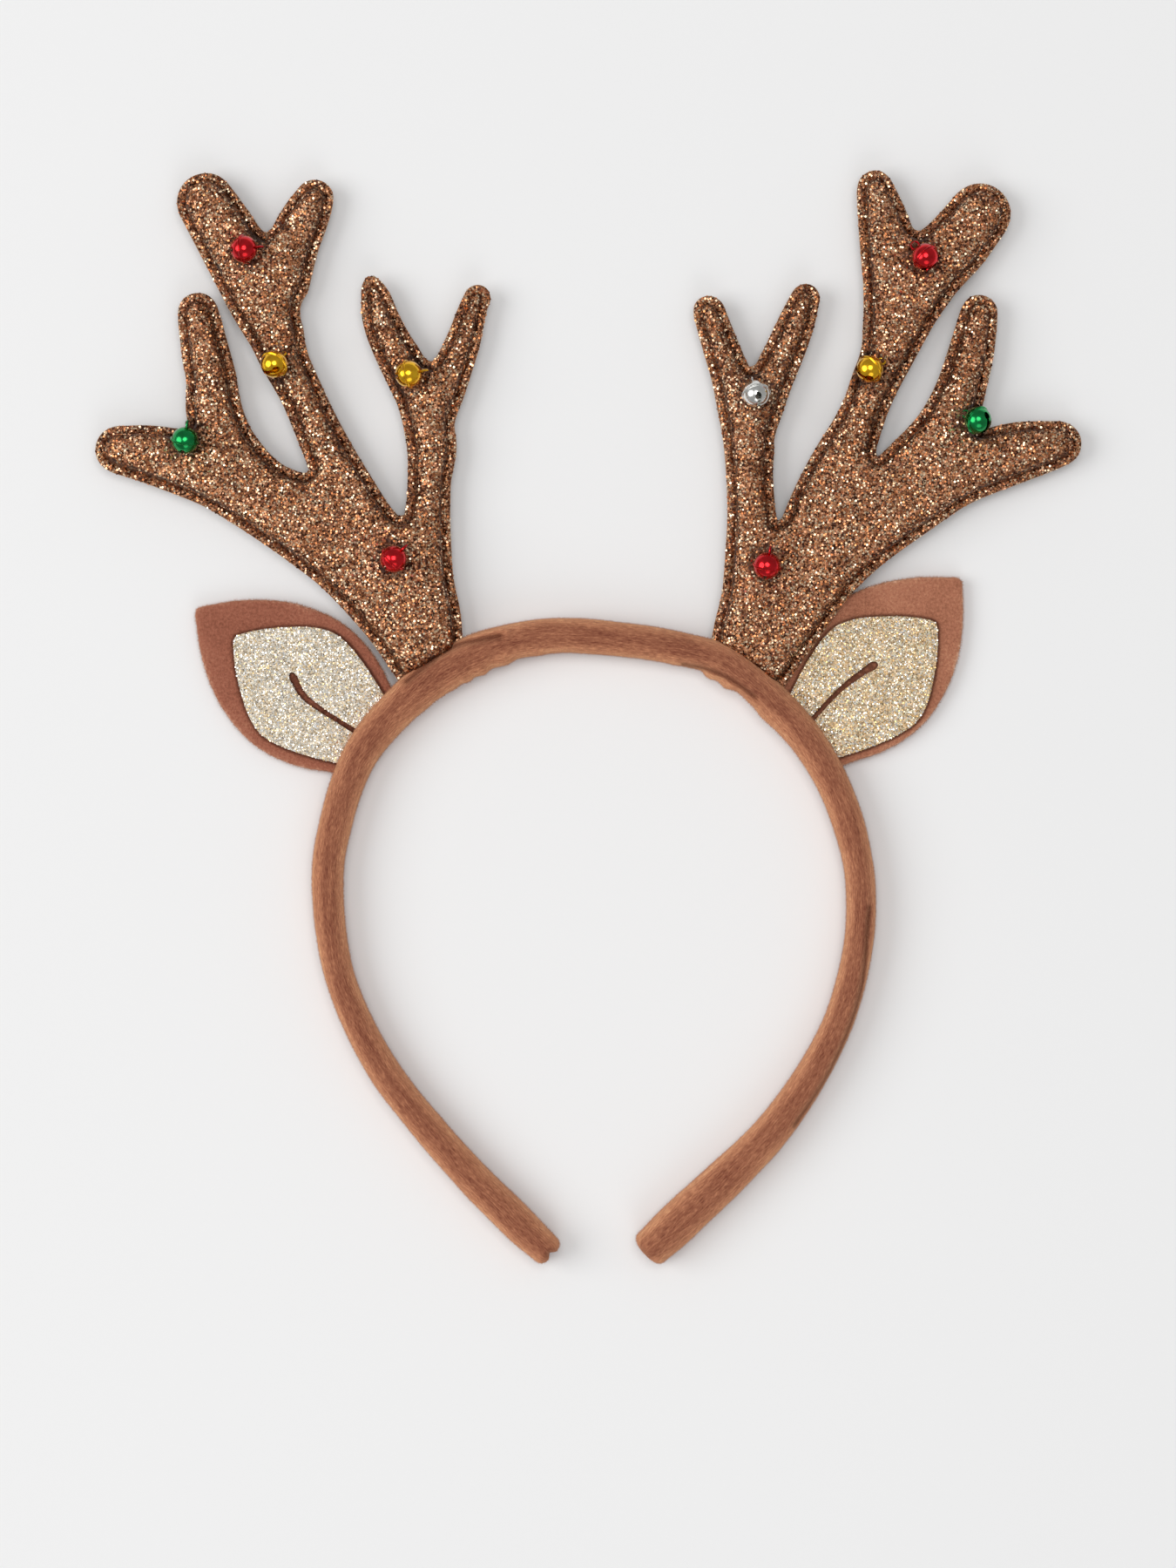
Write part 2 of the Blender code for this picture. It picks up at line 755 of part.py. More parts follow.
def bell_slot():
    # A straight slot with a round hole at each end.
    neck = SLOT_END_OUT - 1.1 * SLOT_END_RADIUS
    half = [(neck, -SLOT_WIDTH / 2)]
    for degrees in range(-120, 121, 80):
        angle = math.radians(degrees)
        across = SLOT_END_OUT + SLOT_END_RADIUS * math.cos(angle)
        half.append((across, SLOT_END_RADIUS * math.sin(angle)))
    half.append((neck, SLOT_WIDTH / 2))
    outline = half + [(-x, -y) for x, y in half]
    bm = bmesh.new()
    lower = [bm.verts.new((x, y, -2.0 * BELL_RADIUS)) for x, y in outline]
    bottom = bm.faces.new(lower)
    raised = bmesh.ops.extrude_face_region(bm, geom=[bottom])["geom"]
    upper = [item for item in raised if isinstance(item, bmesh.types.BMVert)]
    bmesh.ops.translate(bm, vec=(0.0, 0.0, 1.6 * BELL_RADIUS), verts=upper)
    bmesh.ops.recalc_face_normals(bm, faces=bm.faces)
    return bm


def bell_loop():
    bm = bmesh.new()
    rings = []
    for step in range(LOOP_SIDES):
        turn = 2 * math.pi * (step + 0.5) / LOOP_SIDES
        outward = Vector((math.cos(turn), 0.0, math.sin(turn)))
        ring = []
        for side in range(WIRE_SIDES):
            angle = 2 * math.pi * side / WIRE_SIDES
            offset = outward * math.cos(angle) + Vector((0.0, math.sin(angle), 0.0))
            centre = outward * LOOP_RADIUS + Vector((0.0, 0.0, BELL_RADIUS + LOOP_OUT))
            ring.append(bm.verts.new(centre + offset * LOOP_WIRE))
        rings.append(ring)
    for near, far in zip(rings, rings[1:] + rings[:1]):
        for i in range(WIRE_SIDES):
            j = (i + 1) % WIRE_SIDES
            bm.faces.new((near[i], near[j], far[j], far[i]))
    bmesh.ops.recalc_face_normals(bm, faces=bm.faces)
    return bm


def bell_mesh(material):
    # One bell, finished once. Every bell is a copy of it.
    body = add_object("bell_body", bell_body(), material, None)
    helpers = [body]
    steps = (
        ("hollow", bell_hollow(), "DIFFERENCE"),
        ("slot", bell_slot(), "DIFFERENCE"),
        ("loop", bell_loop(), "UNION"),
    )
    for name, bm, operation in steps:
        helper = add_object(name, bm, material, None)
        helpers.append(helper)
        modifier = body.modifiers.new(name, "BOOLEAN")
        modifier.operation = operation
        modifier.object = helper
    graph = bpy.context.evaluated_depsgraph_get()
    mesh = bpy.data.meshes.new_from_object(body.evaluated_get(graph))
    for helper in helpers:
        bpy.data.objects.remove(helper)
    return mesh


def bell_turn(heading, lift, turn):
    # The loop's way, which starts along +Z, is laid over to the heading.
    slot = Matrix.Rotation(math.radians(turn), 4, "Z")
    lay = Matrix.Rotation(math.radians(90.0 - lift), 4, "Y")
    swing = Matrix.Rotation(math.radians(heading), 4, "Z")
    return swing @ lay @ slot


def bell_height(mesh, rotation, x, y, stuffing):
    # The lowest height at which the bell clears the fabric under it.
    spots = np.array([(rotation @ vert.co)[:] for vert in mesh.vertices]) / MM
    fabric = ANTLER_MIDDLE + MARGIN_THICKNESS / 2 + stuffing.at(spots[:, :2] + (x, y))
    return float((fabric - spots[:, 2]).max()) + BELL_SEAT_GAP


def build():
    clear_scene()
    materials = {name: make_material(name) for name in MATERIALS}
    headband = bpy.data.objects.new("headband", None)
    bpy.context.scene.collection.objects.link(headband)

    band = add_object("band", make_band(), materials["velvet"], headband)
    sides = {"left": LEFT_TINES, "right": RIGHT_TINES}
    stuffings = {}
    for side, tines in sides.items():
        stuffings[side] = Stuffing(tines)
        antler = make_antler(tines, stuffings[side])
        add_object(f"antler_{side}", antler, materials["glitter_fabric"], headband)
        add_object(f"ear_{side}", make_ear(side, tines), materials["velour"], headband)
        panel = make_panel(side, tines)
        add_object(f"ear_panel_{side}", panel, materials["pale_glitter"], headband)

        half = MARGIN_THICKNESS / 2
        antler_pocket = pocket(
            lambda points: tines_field(points, tines),
            TAB_END,
            ANTLER_MIDDLE - half,
            ANTLER_MIDDLE + half,
            *tines_box(tines),
        )
        cut_away(band, antler_pocket, f"antler_pocket_{side}", headband)
        ear_pocket = pocket(
            lambda points: ear_field(points, side, tines),
            EAR_TAB_END,
            EAR_LOW,
            EAR_LOW + EAR_THICKNESS + GAP + PANEL_THICKNESS,
            *ear_box(side),
        )
        cut_away(band, ear_pocket, f"ear_pocket_{side}", headband)

    shared = bell_mesh(materials["gold"])
    for name, (x, y, heading, lift, turn, colour) in BELLS.items():
        side = name.split("_")[1]
        rotation = bell_turn(heading, lift, turn)
        z = bell_height(shared, rotation, x, y, stuffings[side])
        mesh = shared.copy()
        mesh.materials.clear()
        bell = add_mesh_object(name, mesh, materials[colour], headband)
        bell.matrix_world = Matrix.Translation(Vector((x, y, z)) * MM) @ rotation


build()
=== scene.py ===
# Reindeer antler headband, lying face up on a table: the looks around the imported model.

import math

import bmesh
import bpy
import numpy as np
from mathutils import Matrix, Vector, kdtree, noise
from mathutils.geometry import delaunay_2d_cdt


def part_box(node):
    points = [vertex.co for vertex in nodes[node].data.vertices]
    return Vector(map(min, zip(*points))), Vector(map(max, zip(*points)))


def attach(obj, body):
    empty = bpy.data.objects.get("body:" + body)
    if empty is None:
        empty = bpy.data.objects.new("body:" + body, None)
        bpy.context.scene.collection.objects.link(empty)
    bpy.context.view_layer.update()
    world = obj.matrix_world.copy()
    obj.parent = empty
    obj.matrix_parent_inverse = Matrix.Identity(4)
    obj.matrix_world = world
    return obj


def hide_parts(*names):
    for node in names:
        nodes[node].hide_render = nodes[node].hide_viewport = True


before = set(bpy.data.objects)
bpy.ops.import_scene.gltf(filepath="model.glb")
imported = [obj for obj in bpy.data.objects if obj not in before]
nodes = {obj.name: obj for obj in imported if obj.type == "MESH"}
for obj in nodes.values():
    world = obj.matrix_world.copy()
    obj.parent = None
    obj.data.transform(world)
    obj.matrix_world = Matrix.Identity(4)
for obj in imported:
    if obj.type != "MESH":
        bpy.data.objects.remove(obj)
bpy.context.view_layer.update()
mm = 0.001  # all sizes below are in millimetres, and meshes are scaled by this as they are made
print("frame loaded")


# Colours, nodes and materials

def linear(hexColour):
    parts = [int(hexColour[i:i + 2], 16) / 255 for i in (1, 3, 5)]
    return (*[p / 12.92 if p <= 0.04045 else ((p + 0.055) / 1.055) ** 2.4 for p in parts], 1.0)


def feed(node, inputs):
    # Sets or links a node's inputs. A node given as a value stands for its first output.
    for key, value in inputs.items():
        if isinstance(value, bpy.types.Node):
            value = value.outputs[0]
        if isinstance(value, bpy.types.NodeSocket):
            node.id_data.links.new(value, node.inputs[key])
        else:
            node.inputs[key].default_value = value


def addNode(tree, kind, settings=None, inputs=None):
    node = tree.nodes.new(kind)
    for name, value in (settings or {}).items():
        setattr(node, name, value)
    feed(node, inputs or {})
    return node


def newMaterial(name, constants):
    material = bpy.data.materials.new(name)
    material.use_nodes = True
    shader = material.node_tree.nodes["Principled BSDF"]
    feed(shader, constants)
    return material, material.node_tree, shader


def objectPlace(tree):
    return addNode(tree, "ShaderNodeTexCoord").outputs["Object"]


def attribute(tree, name):
    return addNode(tree, "ShaderNodeAttribute", {"attribute_name": name}).outputs["Fac"]


def cloudy(tree, place, scale, detail, **more):
    return addNode(tree, "ShaderNodeTexNoise", inputs={
        "Vector": place, "Scale": scale, "Detail": detail, **more})


def ramp(tree, value, stops):
    node = addNode(tree, "ShaderNodeValToRGB", inputs={"Fac": value})
    elements = node.color_ramp.elements
    while len(elements) < len(stops):
        elements.new(1.0)
    for element, (place, hexColour) in zip(elements, stops):
        element.position = place
        element.color = linear(hexColour)
    return node


def mapped(tree, value, start, end, low=0.0, high=1.0):
    return addNode(tree, "ShaderNodeMapRange", inputs={
        "Value": value, "From Min": start, "From Max": end, "To Min": low, "To Max": high})


def blend(tree, share, low, high):
    return addNode(tree, "ShaderNodeMix", {"data_type": "RGBA"}, {0: share, 6: low, 7: high}).outputs[2]


def reckon(tree, operation, *values):
    return addNode(tree, "ShaderNodeMath", {"operation": operation}, dict(enumerate(values)))


def vector(tree, operation, inputs):
    return addNode(tree, "ShaderNodeVectorMath", {"operation": operation}, inputs)


def bumped(tree, height, strength, distance):
    return addNode(tree, "ShaderNodeBump", inputs={
        "Height": height, "Strength": strength, "Distance": distance})


def glitterSheet(name, look):
    # Hexagonal flakes of metallised film glued to cloth: each flake lies at its own
    # angle, so neighbours differ from bright to dark, with dark glue between them.
    material, tree, shader = newMaterial(name, {
        "Metallic": look["metallic"], "Roughness": look["roughness"]})
    flakes = {"Vector": objectPlace(tree), "Scale": 1000 / look["flake"], "Randomness": 0.9}
    cells = addNode(tree, "ShaderNodeTexVoronoi", inputs=flakes).outputs["Color"]
    edges = addNode(tree, "ShaderNodeTexVoronoi", {"feature": "DISTANCE_TO_EDGE"}, flakes)
    shade = addNode(tree, "ShaderNodeSeparateColor", inputs={"Color": cells})
    tones = ramp(tree, shade, look["tones"])
    tones.color_ramp.interpolation = "CONSTANT"
    glueAndShade = linear(look["glueAndShade"])
    colour = blend(tree, mapped(tree, edges, 0.02, 0.10), glueAndShade, tones)
    away = vector(tree, "SUBTRACT", {0: cells, 1: (0.5, 0.5, 0.5)})
    tilt = vector(tree, "SCALE", {0: away, "Scale": look["tilt"]})
    normal = addNode(tree, "ShaderNodeNewGeometry").outputs["Normal"]
    leaned = vector(tree, "ADD", {0: tilt, 1: normal})
    feed(shader, {
        # Painted shade: the glue's dark colour is laid over the cloth where the painted-shade value is set.
        "Base Color": blend(tree, attribute(tree, "paintedShade"), colour, glueAndShade),
        "Normal": vector(tree, "NORMALIZE", {0: leaned})})
    return material


def pile(name, look):
    # Short upright pile: matt, brushed in short streaks, with painted sheen: darker where it faces up,
    # paler where it turns away or ends in a cut edge. Painted shade darkens it where that value is set.
    material, tree, shader = newMaterial(name, {
        "Roughness": 0.92, "Sheen Weight": look["sheen"], "Sheen Roughness": 0.45,
        "Sheen Tint": linear(look["sheenTint"]), "Specular IOR Level": 0.12})
    solid = objectPlace(tree)
    place = addNode(tree, "ShaderNodeUVMap", {"uv_map": "velvetRun"}) if look["along"] else solid
    stretched = {key: addNode(tree, "ShaderNodeMapping", inputs={
        "Vector": place, "Scale": [1000 / size for size in look[key]]}) for key in ("streak", "patch")}
    streaks = cloudy(tree, stretched["streak"], 1.0, 3.0, Roughness=0.65)
    patches = cloudy(tree, stretched["patch"], 1.0, 2.0)
    both = addNode(tree, "ShaderNodeMix", inputs={0: 0.3, 2: streaks, 3: patches})
    uneven = mapped(tree, both, 0.34, 0.66, high=look["uneven"])
    shade = reckon(tree, "MULTIPLY_ADD", attribute(tree, "sheenAndFuzz"), look["rim"], uneven)
    tones = ramp(tree, shade, look["tones"])
    fine = cloudy(tree, solid, 1000 / look["grain"], 2.0)
    relief = reckon(tree, "ADD", fine, streaks)
    feed(shader, {
        "Base Color": blend(tree, attribute(tree, "paintedShade"), tones, linear(look["paintedShadeTone"])),
        "Normal": bumped(tree, relief, look["bump"], 0.0003)})
    return material


def platedMetal(name, low, high):
    # Thin stamped steel, plated and lacquered: a mirror with a faint ripple.
    material, tree, shader = newMaterial(name, {"Metallic": 1.0, "Coat Weight": 0.4})
    ripple = cloudy(tree, objectPlace(tree), 1000 / 1.8, 3.0)
    feed(shader, {
        "Base Color": ramp(tree, ripple, ((0.3, low), (0.7, high))),
        "Roughness": mapped(tree, ripple, 0.0, 1.0, 0.12, 0.26),
        "Normal": bumped(tree, ripple, 0.25, 0.0002)})
    return material


def plainFinish(name, hexColour, metallic, roughness):
    return newMaterial(name, {
        "Base Color": linear(hexColour), "Metallic": metallic, "Roughness": roughness})[0]


# Objects, outlines and distances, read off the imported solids

def addObject(name, data):
    item = bpy.data.objects.new(name, data)
    bpy.context.scene.collection.objects.link(item)
    return item


def bakedMesh(item):
    # The item's mesh, with its modifiers or its curve worked out.
    graph = bpy.context.evaluated_depsgraph_get()
    return bpy.data.meshes.new_from_object(item.evaluated_get(graph))


def hump(away, width):
    return np.exp(-(away / width) ** 2)


def lengths(rows):
    return np.linalg.norm(rows, axis=1)


def lengthAlong(line):
    return np.concatenate([[0], np.cumsum(lengths(np.diff(line, axis=0)))])


def tracedLoops(edges):
    links = {}
    for edge in edges:
        one, other = edge.verts
        links.setdefault(one, []).append(other)
        links.setdefault(other, []).append(one)
    loops = []
    while links:
        loop, at = [], next(iter(links))
        while at in links:
            loop.append(at.co.xy[:])
            ways = links.pop(at)
            at = next((way for way in ways if way in links), None)
        loops.append(np.array(loop))
    return loops


def ringEdges(first, count):
    return [(first + i, first + (i + 1) % count) for i in range(count)]


def gridOver(corners, cell):
    # Evenly spaced points over a box: their x and their y.
    low, high = corners
    count = np.ceil((high - low) / cell).astype(int) + 1
    return np.meshgrid(*(low[i] + np.arange(count[i]) * cell for i in (0, 1)), indexing="ij")


def rimLoop(node):
    # The upper edge of a flat piece's cut side, as a closed loop, with the side's heights.
    bm = bmesh.new()
    bm.from_mesh(nodes[node].data)
    bmesh.ops.remove_doubles(bm, verts=bm.verts, dist=2e-6)
    bm.normal_update()
    sides = [face for face in bm.faces if abs(face.normal.z) < 0.05]
    heights = [vert.co.z for face in sides for vert in face.verts]
    low, high = min(heights), max(heights)
    loop = tracedLoops([edge for face in sides for edge in face.edges
                        if all(vert.co.z > high - 1e-5 for vert in edge.verts)])[0]
    bm.free()
    return loop / mm, low / mm, high / mm

def smoothLoop(points, step):
    # A rounded loop through the points that keeps their sharp corners.
    into = points - np.roll(points, 1, 0)
    out = np.roll(points, -1, 0) - points
    intoLong = lengths(into)[:, None]
    outLong = lengths(out)[:, None]
    sharp = (into * out).sum(1)[:, None] < 0.72 * intoLong * outLong
    both = into / intoLong + out / outLong
    both /= lengths(both)[:, None]
    leaving = np.where(sharp, out / outLong, both) * outLong
    arriving = np.roll(np.where(sharp, into / intoLong, both) * intoLong, -1, 0)
    ends = np.roll(points, -1, 0)
    fine = []
    for i, start in enumerate(points):
        count = max(1, round(outLong[i, 0] / step))
        t = (np.arange(count) / count)[:, None]
        fine.append((2 * t**3 - 3 * t**2 + 1) * start + (t**3 - 2 * t**2 + t) * leaving[i]
                    + (3 * t**2 - 2 * t**3) * ends[i] + (t**3 - t**2) * arriving[i])
    return np.vstack(fine)


def respaced(loop, spacing):
    closed = np.vstack([loop, loop[:1]])
    reached = lengthAlong(closed)
    wanted = np.arange(max(8, round(reached[-1] / spacing)))
    wanted = wanted * reached[-1] / len(wanted)
    return np.stack([np.interp(wanted, reached, closed[:, i]) for i in (0, 1)], axis=1)


class Leaf:
    # A flat shape: how far inside its outline any point lies, and how far round it is.

    def __init__(self, node, step=0.5):
        rough, self.low, self.high = rimLoop(node)
        self.outline = smoothLoop(rough, step)
        self.tree = kdtree.KDTree(len(self.outline))
        for i, point in enumerate(self.outline):
            self.tree.insert((*point, 0.0), i)
        self.tree.balance()
        self.corners = self.outline.min(axis=0) - 3.0, self.outline.max(axis=0) + 3.0

    def depth(self, points):
        # Positive inside, with the place of the nearest outline point.
        found = [self.tree.find((*point, 0.0)) for point in points]
        away = np.array([item[2] for item in found])
        place = np.array([item[1] for item in found])
        inside = np.zeros(len(points), bool)
        for start, end in zip(self.outline, np.roll(self.outline, -1, axis=0)):
            if start[1] != end[1]:
                crosses = (start[1] > points[:, 1]) != (end[1] > points[:, 1])
                reach = start[0] + (points[:, 1] - start[1]) * (end[0] - start[0]) / (end[1] - start[1])
                inside ^= crosses & (points[:, 0] < reach)
        return np.where(inside, away, -away), place

    def inner(self, level, cell=0.8):
        # The loops that lie this far inside: the shape's grid is raised by the depth
        # and cut by a flat plane.
        if not hasattr(self, "grid"):
            xs, ys = gridOver(self.corners, cell)
            flat = np.stack([xs.ravel(), ys.ravel()], axis=1)
            depth, _ = self.depth(flat)
            at = np.arange(len(flat)).reshape(xs.shape)
            a, b, c, d = (part.ravel() for part in (at[:-1, :-1], at[1:, :-1], at[1:, 1:], at[:-1, 1:]))
            faces = np.vstack([np.stack([a, b, c], 1), np.stack([a, c, d], 1)])
            self.grid = bpy.data.meshes.new("grid")
            self.grid.from_pydata(np.column_stack([flat, depth]), [], faces)
        bm = bmesh.new()
        bm.from_mesh(self.grid)
        cut = bmesh.ops.bisect_plane(
            bm, geom=bm.verts[:] + bm.edges[:] + bm.faces[:], dist=1e-4,
            plane_co=(0, 0, level), plane_no=(0, 0, 1))["geom_cut"]
        loops = tracedLoops([item for item in cut if isinstance(item, bmesh.types.BMEdge)])
        bm.free()
        return [loop for loop in loops if len(loop) > 12]

    def filled(self, levels, spacing, fill, extra=()):
        # Points and triangles of the flat shape, with rings along the given depths, and
        # extra points inside it.
        rings = [respaced(self.outline, spacing)]
        for level in levels:
            rings += [respaced(loop, spacing) for loop in self.inner(level)]
        points, edges = [], []
        for ring in rings:
            edges += ringEdges(len(points), len(ring))
            points.extend(ring)
        low, high = self.corners
        lattice = []
        for i, y in enumerate(np.arange(low[1], high[1], fill * math.sqrt(0.75))):
            xs = np.arange(low[0] + 0.5 * fill * (i % 2), high[0], fill)
            lattice.append(np.stack([xs, np.full(len(xs), y)], axis=1))
        lattice = np.vstack(lattice)
        depth, _ = self.depth(lattice)
        keep = depth > 0.5 * fill
        for level in levels:
            keep &= abs(depth - level) > 0.35 * fill
        points.extend(lattice[keep])
        for row in extra:
            depth, _ = self.depth(row)
            points.extend(row[depth > 0.4])
        made = delaunay_2d_cdt([Vector(point) for point in points], edges, [], 1, 1e-6)
        return np.array([vert[:] for vert in made[0]]), made[2]


def newPiece(name, points, faces, materials, indices=None, sharp=50):
    # Points in millimetres to a finished object in metres.
    mesh = bpy.data.meshes.new(name)
    mesh.from_pydata(np.asarray(points) * mm, [], faces)
    for material in materials:
        mesh.materials.append(material)
    if indices is not None:
        mesh.polygons.foreach_set("material_index", np.asarray(indices, np.int32))
    mesh.update()
    mesh.shade_smooth()
    mesh.set_sharp_from_angle(angle=math.radians(sharp))
    return addObject(name, mesh)


def turnFacesOut(mesh):
    bm = bmesh.new()
    bm.from_mesh(mesh)
    bmesh.ops.delete(bm, geom=[vert for vert in bm.verts if not vert.link_faces], context="VERTS")
    bmesh.ops.recalc_face_normals(bm, faces=bm.faces)
    bm.to_mesh(mesh)
    bm.free()

def twoSided(name, flat, faces, top, bottom, edgeRows, materials):
    # Two layers over the same triangles, joined round the outline by the edge rows:
    # each row is (out, height) from the top layer's edge to the bottom layer's.
    count = len(flat)
    rimEdges = {}
    for face in faces:
        for one, other in zip(face, face[1:] + face[:1]):
            if (other, one) in rimEdges:
                del rimEdges[(other, one)]
            else:
                rimEdges[(one, other)] = True
    after = {one: other for one, other in rimEdges}
    order, at = [], next(iter(after))
    while at in after:
        order.append(at)
        at = after.pop(at)
    rim = flat[order]
    way = np.roll(rim, -1, 0) - np.roll(rim, 1, 0)
    way /= lengths(way)[:, None]
    outward = np.stack([way[:, 1], -way[:, 0]], axis=1)
    points = [np.column_stack([flat, top]), np.column_stack([flat, bottom])]
    rows = [order]
    start = 2 * count
    for out, height in edgeRows:
        points.append(np.column_stack([rim + outward * np.reshape(out, (-1, 1)),
                                       np.full(len(rim), height)]))
        rows.append(list(range(start, start + len(rim))))
        start += len(rim)
    rows.append([count + i for i in order])
    allFaces = [tuple(face) for face in faces]
    allFaces += [tuple(count + i for i in reversed(face)) for face in faces]
    indices = [0] * len(allFaces)
    for upper, lower in zip(rows, rows[1:]):
        for i in range(len(order)):
            j = (i + 1) % len(order)
            allFaces.append((upper[j], upper[i], lower[i], lower[j]))
            indices.append(1)
    piece = newPiece(name, np.vstack(points), allFaces, materials, indices)
    turnFacesOut(piece.data)
    return piece

def paint(piece, name, values):
    # A number at each vertex for the materials and node trees. It comes from the place.
    points = np.array([vert.co[:] for vert in piece.data.vertices]) / mm
    facing = np.array([vert.normal[:] for vert in piece.data.vertices])
    layer = piece.data.attributes.new(name, "FLOAT", "POINT")
    layer.data.foreach_set("value", np.clip(values(points, facing), 0.0, 1.0))


# Geometry Nodes: glitter flakes over a surface, fibres on an edge, stitches along a seam

def newTree(name, inputs):
    tree = bpy.data.node_groups.new(name, "GeometryNodeTree")
    for way in ("INPUT", "OUTPUT"):
        tree.interface.new_socket("Geometry", in_out=way, socket_type="NodeSocketGeometry")
    for label, value in inputs.items():
        kind = "NodeSocketInt" if isinstance(value, int) else "NodeSocketFloat"
        tree.interface.new_socket(label, in_out="INPUT", socket_type=kind).default_value = value
    return tree, tree.nodes.new("NodeGroupInput").outputs


def runTree(source, tree, values, name):
    # The tree's result as a plain mesh piece. The modifier doesn't stay.
    modifier = source.modifiers.new(tree.name, "NODES")
    modifier.node_group = tree
    for item in tree.interface.items_tree:
        if item.item_type == "SOCKET" and item.in_out == "INPUT" and item.name in values:
            modifier[item.identifier] = values[item.name]
    mesh = bakedMesh(source)
    source.modifiers.remove(modifier)
    mesh.name = name
    return addObject(name, mesh)


def stored(tree, name, kind="FLOAT"):
    return addNode(tree, "GeometryNodeInputNamedAttribute", {"data_type": kind}, {"Name": name})


def equal(tree, one, other):
    settings = {"data_type": "INT", "operation": "EQUAL"}
    return addNode(tree, "FunctionNodeCompare", settings, {2: one, 3: other})


def leaning(tree, spread, given):
    # The scattered points' rotation, leaned at random and turned any way round.
    lean = addNode(tree, "FunctionNodeRandomValue", {"data_type": "FLOAT_VECTOR"}, {
        0: (-1.0, -1.0, -3.1), 1: (1.0, 1.0, 3.1), "Seed": given["Seed"]})
    x, y, turn = addNode(tree, "ShaderNodeSeparateXYZ", inputs={0: lean}).outputs
    x, y = (reckon(tree, "MULTIPLY", part, given["Tilt"]) for part in (x, y))
    angles = addNode(tree, "ShaderNodeCombineXYZ", inputs={0: x, 1: y, 2: turn})
    return addNode(tree, "FunctionNodeRotateRotation", {"rotation_space": "LOCAL"}, {
        0: spread.outputs["Rotation"], 1: addNode(tree, "FunctionNodeEulerToRotation", inputs={0: angles})})


def randomScale(tree, low, high, seed):
    return addNode(tree, "FunctionNodeRandomValue", {"data_type": "FLOAT"}, {
        2: low, 3: high, "Seed": seed}).outputs[1]


def placed(tree, spots, shape, rotation, scale):
    return addNode(tree, "GeometryNodeInstanceOnPoints", inputs={
        "Points": spots.outputs["Points"], "Instance": shape, "Rotation": rotation, "Scale": scale})


def closeTree(tree, instances, material):
    real = addNode(tree, "GeometryNodeRealizeInstances", inputs={0: instances})
    last = addNode(tree, "GeometryNodeSetMaterial", inputs={"Geometry": real, "Material": material})
    addNode(tree, "NodeGroupOutput", inputs={0: last})
    return tree


def flakeTree(tones):
    tree, given = newTree("scatteredFlakes", {
        "Flake Size": 0.6, "Spacing": 0.5, "Tilt": 0.5, "Back Share": 0.5, "Seed": 1})
    normal = addNode(tree, "GeometryNodeInputNormal")
    up = addNode(tree, "ShaderNodeSeparateXYZ", inputs={0: normal}).outputs["Z"]
    share = mapped(tree, up, -0.3, 0.1, given["Back Share"])
    # Fewer flakes where shade is painted, so the dark glue shows there as painted shade.
    unshaded = reckon(tree, "SUBTRACT", 1.0, stored(tree, "paintedShade"))
    cloth = equal(tree, addNode(tree, "GeometryNodeInputMaterialIndex"), 0)
    spread = addNode(tree, "GeometryNodeDistributePointsOnFaces", {"distribute_method": "POISSON"}, {
        "Mesh": given["Geometry"], "Selection": cloth, "Distance Min": given["Spacing"],
        "Density Max": 9e6, "Density Factor": reckon(tree, "MULTIPLY", share, unshaded), "Seed": given["Seed"]})
    # A six-sided flake whose back comes to a point inside the glue, so it is closed.
    flake = addNode(tree, "GeometryNodeMeshCone", {"fill_type": "NGON"}, {
        "Vertices": 6, "Radius Top": reckon(tree, "MULTIPLY", given["Flake Size"], 0.5),
        "Radius Bottom": 0.0, "Depth": 0.0003})
    lowered = addNode(tree, "GeometryNodeTransform", inputs={
        "Geometry": flake, "Translation": (0.0, 0.0, -0.00018)})
    scale = randomScale(tree, 0.75, 1.15, given["Seed"])
    flakes = placed(tree, spread, lowered, leaning(tree, spread, given), scale)
    pick = addNode(tree, "FunctionNodeRandomValue", {"data_type": "INT"}, {
        4: 0, 5: len(tones) - 1, "Seed": 7})
    kept = addNode(tree, "GeometryNodeStoreNamedAttribute", {
        "data_type": "INT", "domain": "INSTANCE"}, {
        "Geometry": flakes, "Name": "tone", "Value": pick.outputs[2]})
    last = addNode(tree, "GeometryNodeRealizeInstances", inputs={0: kept})
    tone = stored(tree, "tone", "INT")
    for i, material in enumerate(tones):
        last = addNode(tree, "GeometryNodeSetMaterial", inputs={
            "Geometry": last, "Selection": equal(tree, tone, i), "Material": material})
    addNode(tree, "NodeGroupOutput", inputs={0: last})
    return tree


def fuzzTree(material):
    tree, given = newTree("fuzzFibres", {
        "Fibre Length": 0.7, "Fibre Width": 0.06, "Fibres per m2": 1e7, "Tilt": 0.8, "Seed": 1})
    count = reckon(tree, "MULTIPLY", given["Fibres per m2"], stored(tree, "sheenAndFuzz"))
    spread = addNode(tree, "GeometryNodeDistributePointsOnFaces", {"distribute_method": "RANDOM"}, {
        "Mesh": given["Geometry"], "Density": count, "Seed": given["Seed"]})
    fibre = addNode(tree, "GeometryNodeMeshCone", {"fill_type": "NGON"}, {
        "Vertices": 3, "Radius Top": 0.0, "Radius Bottom": given["Fibre Width"],
        "Depth": given["Fibre Length"]})
    scale = randomScale(tree, 0.5, 1.1, given["Seed"])
    return closeTree(tree, placed(tree, spread, fibre, leaning(tree, spread, given), scale), material)


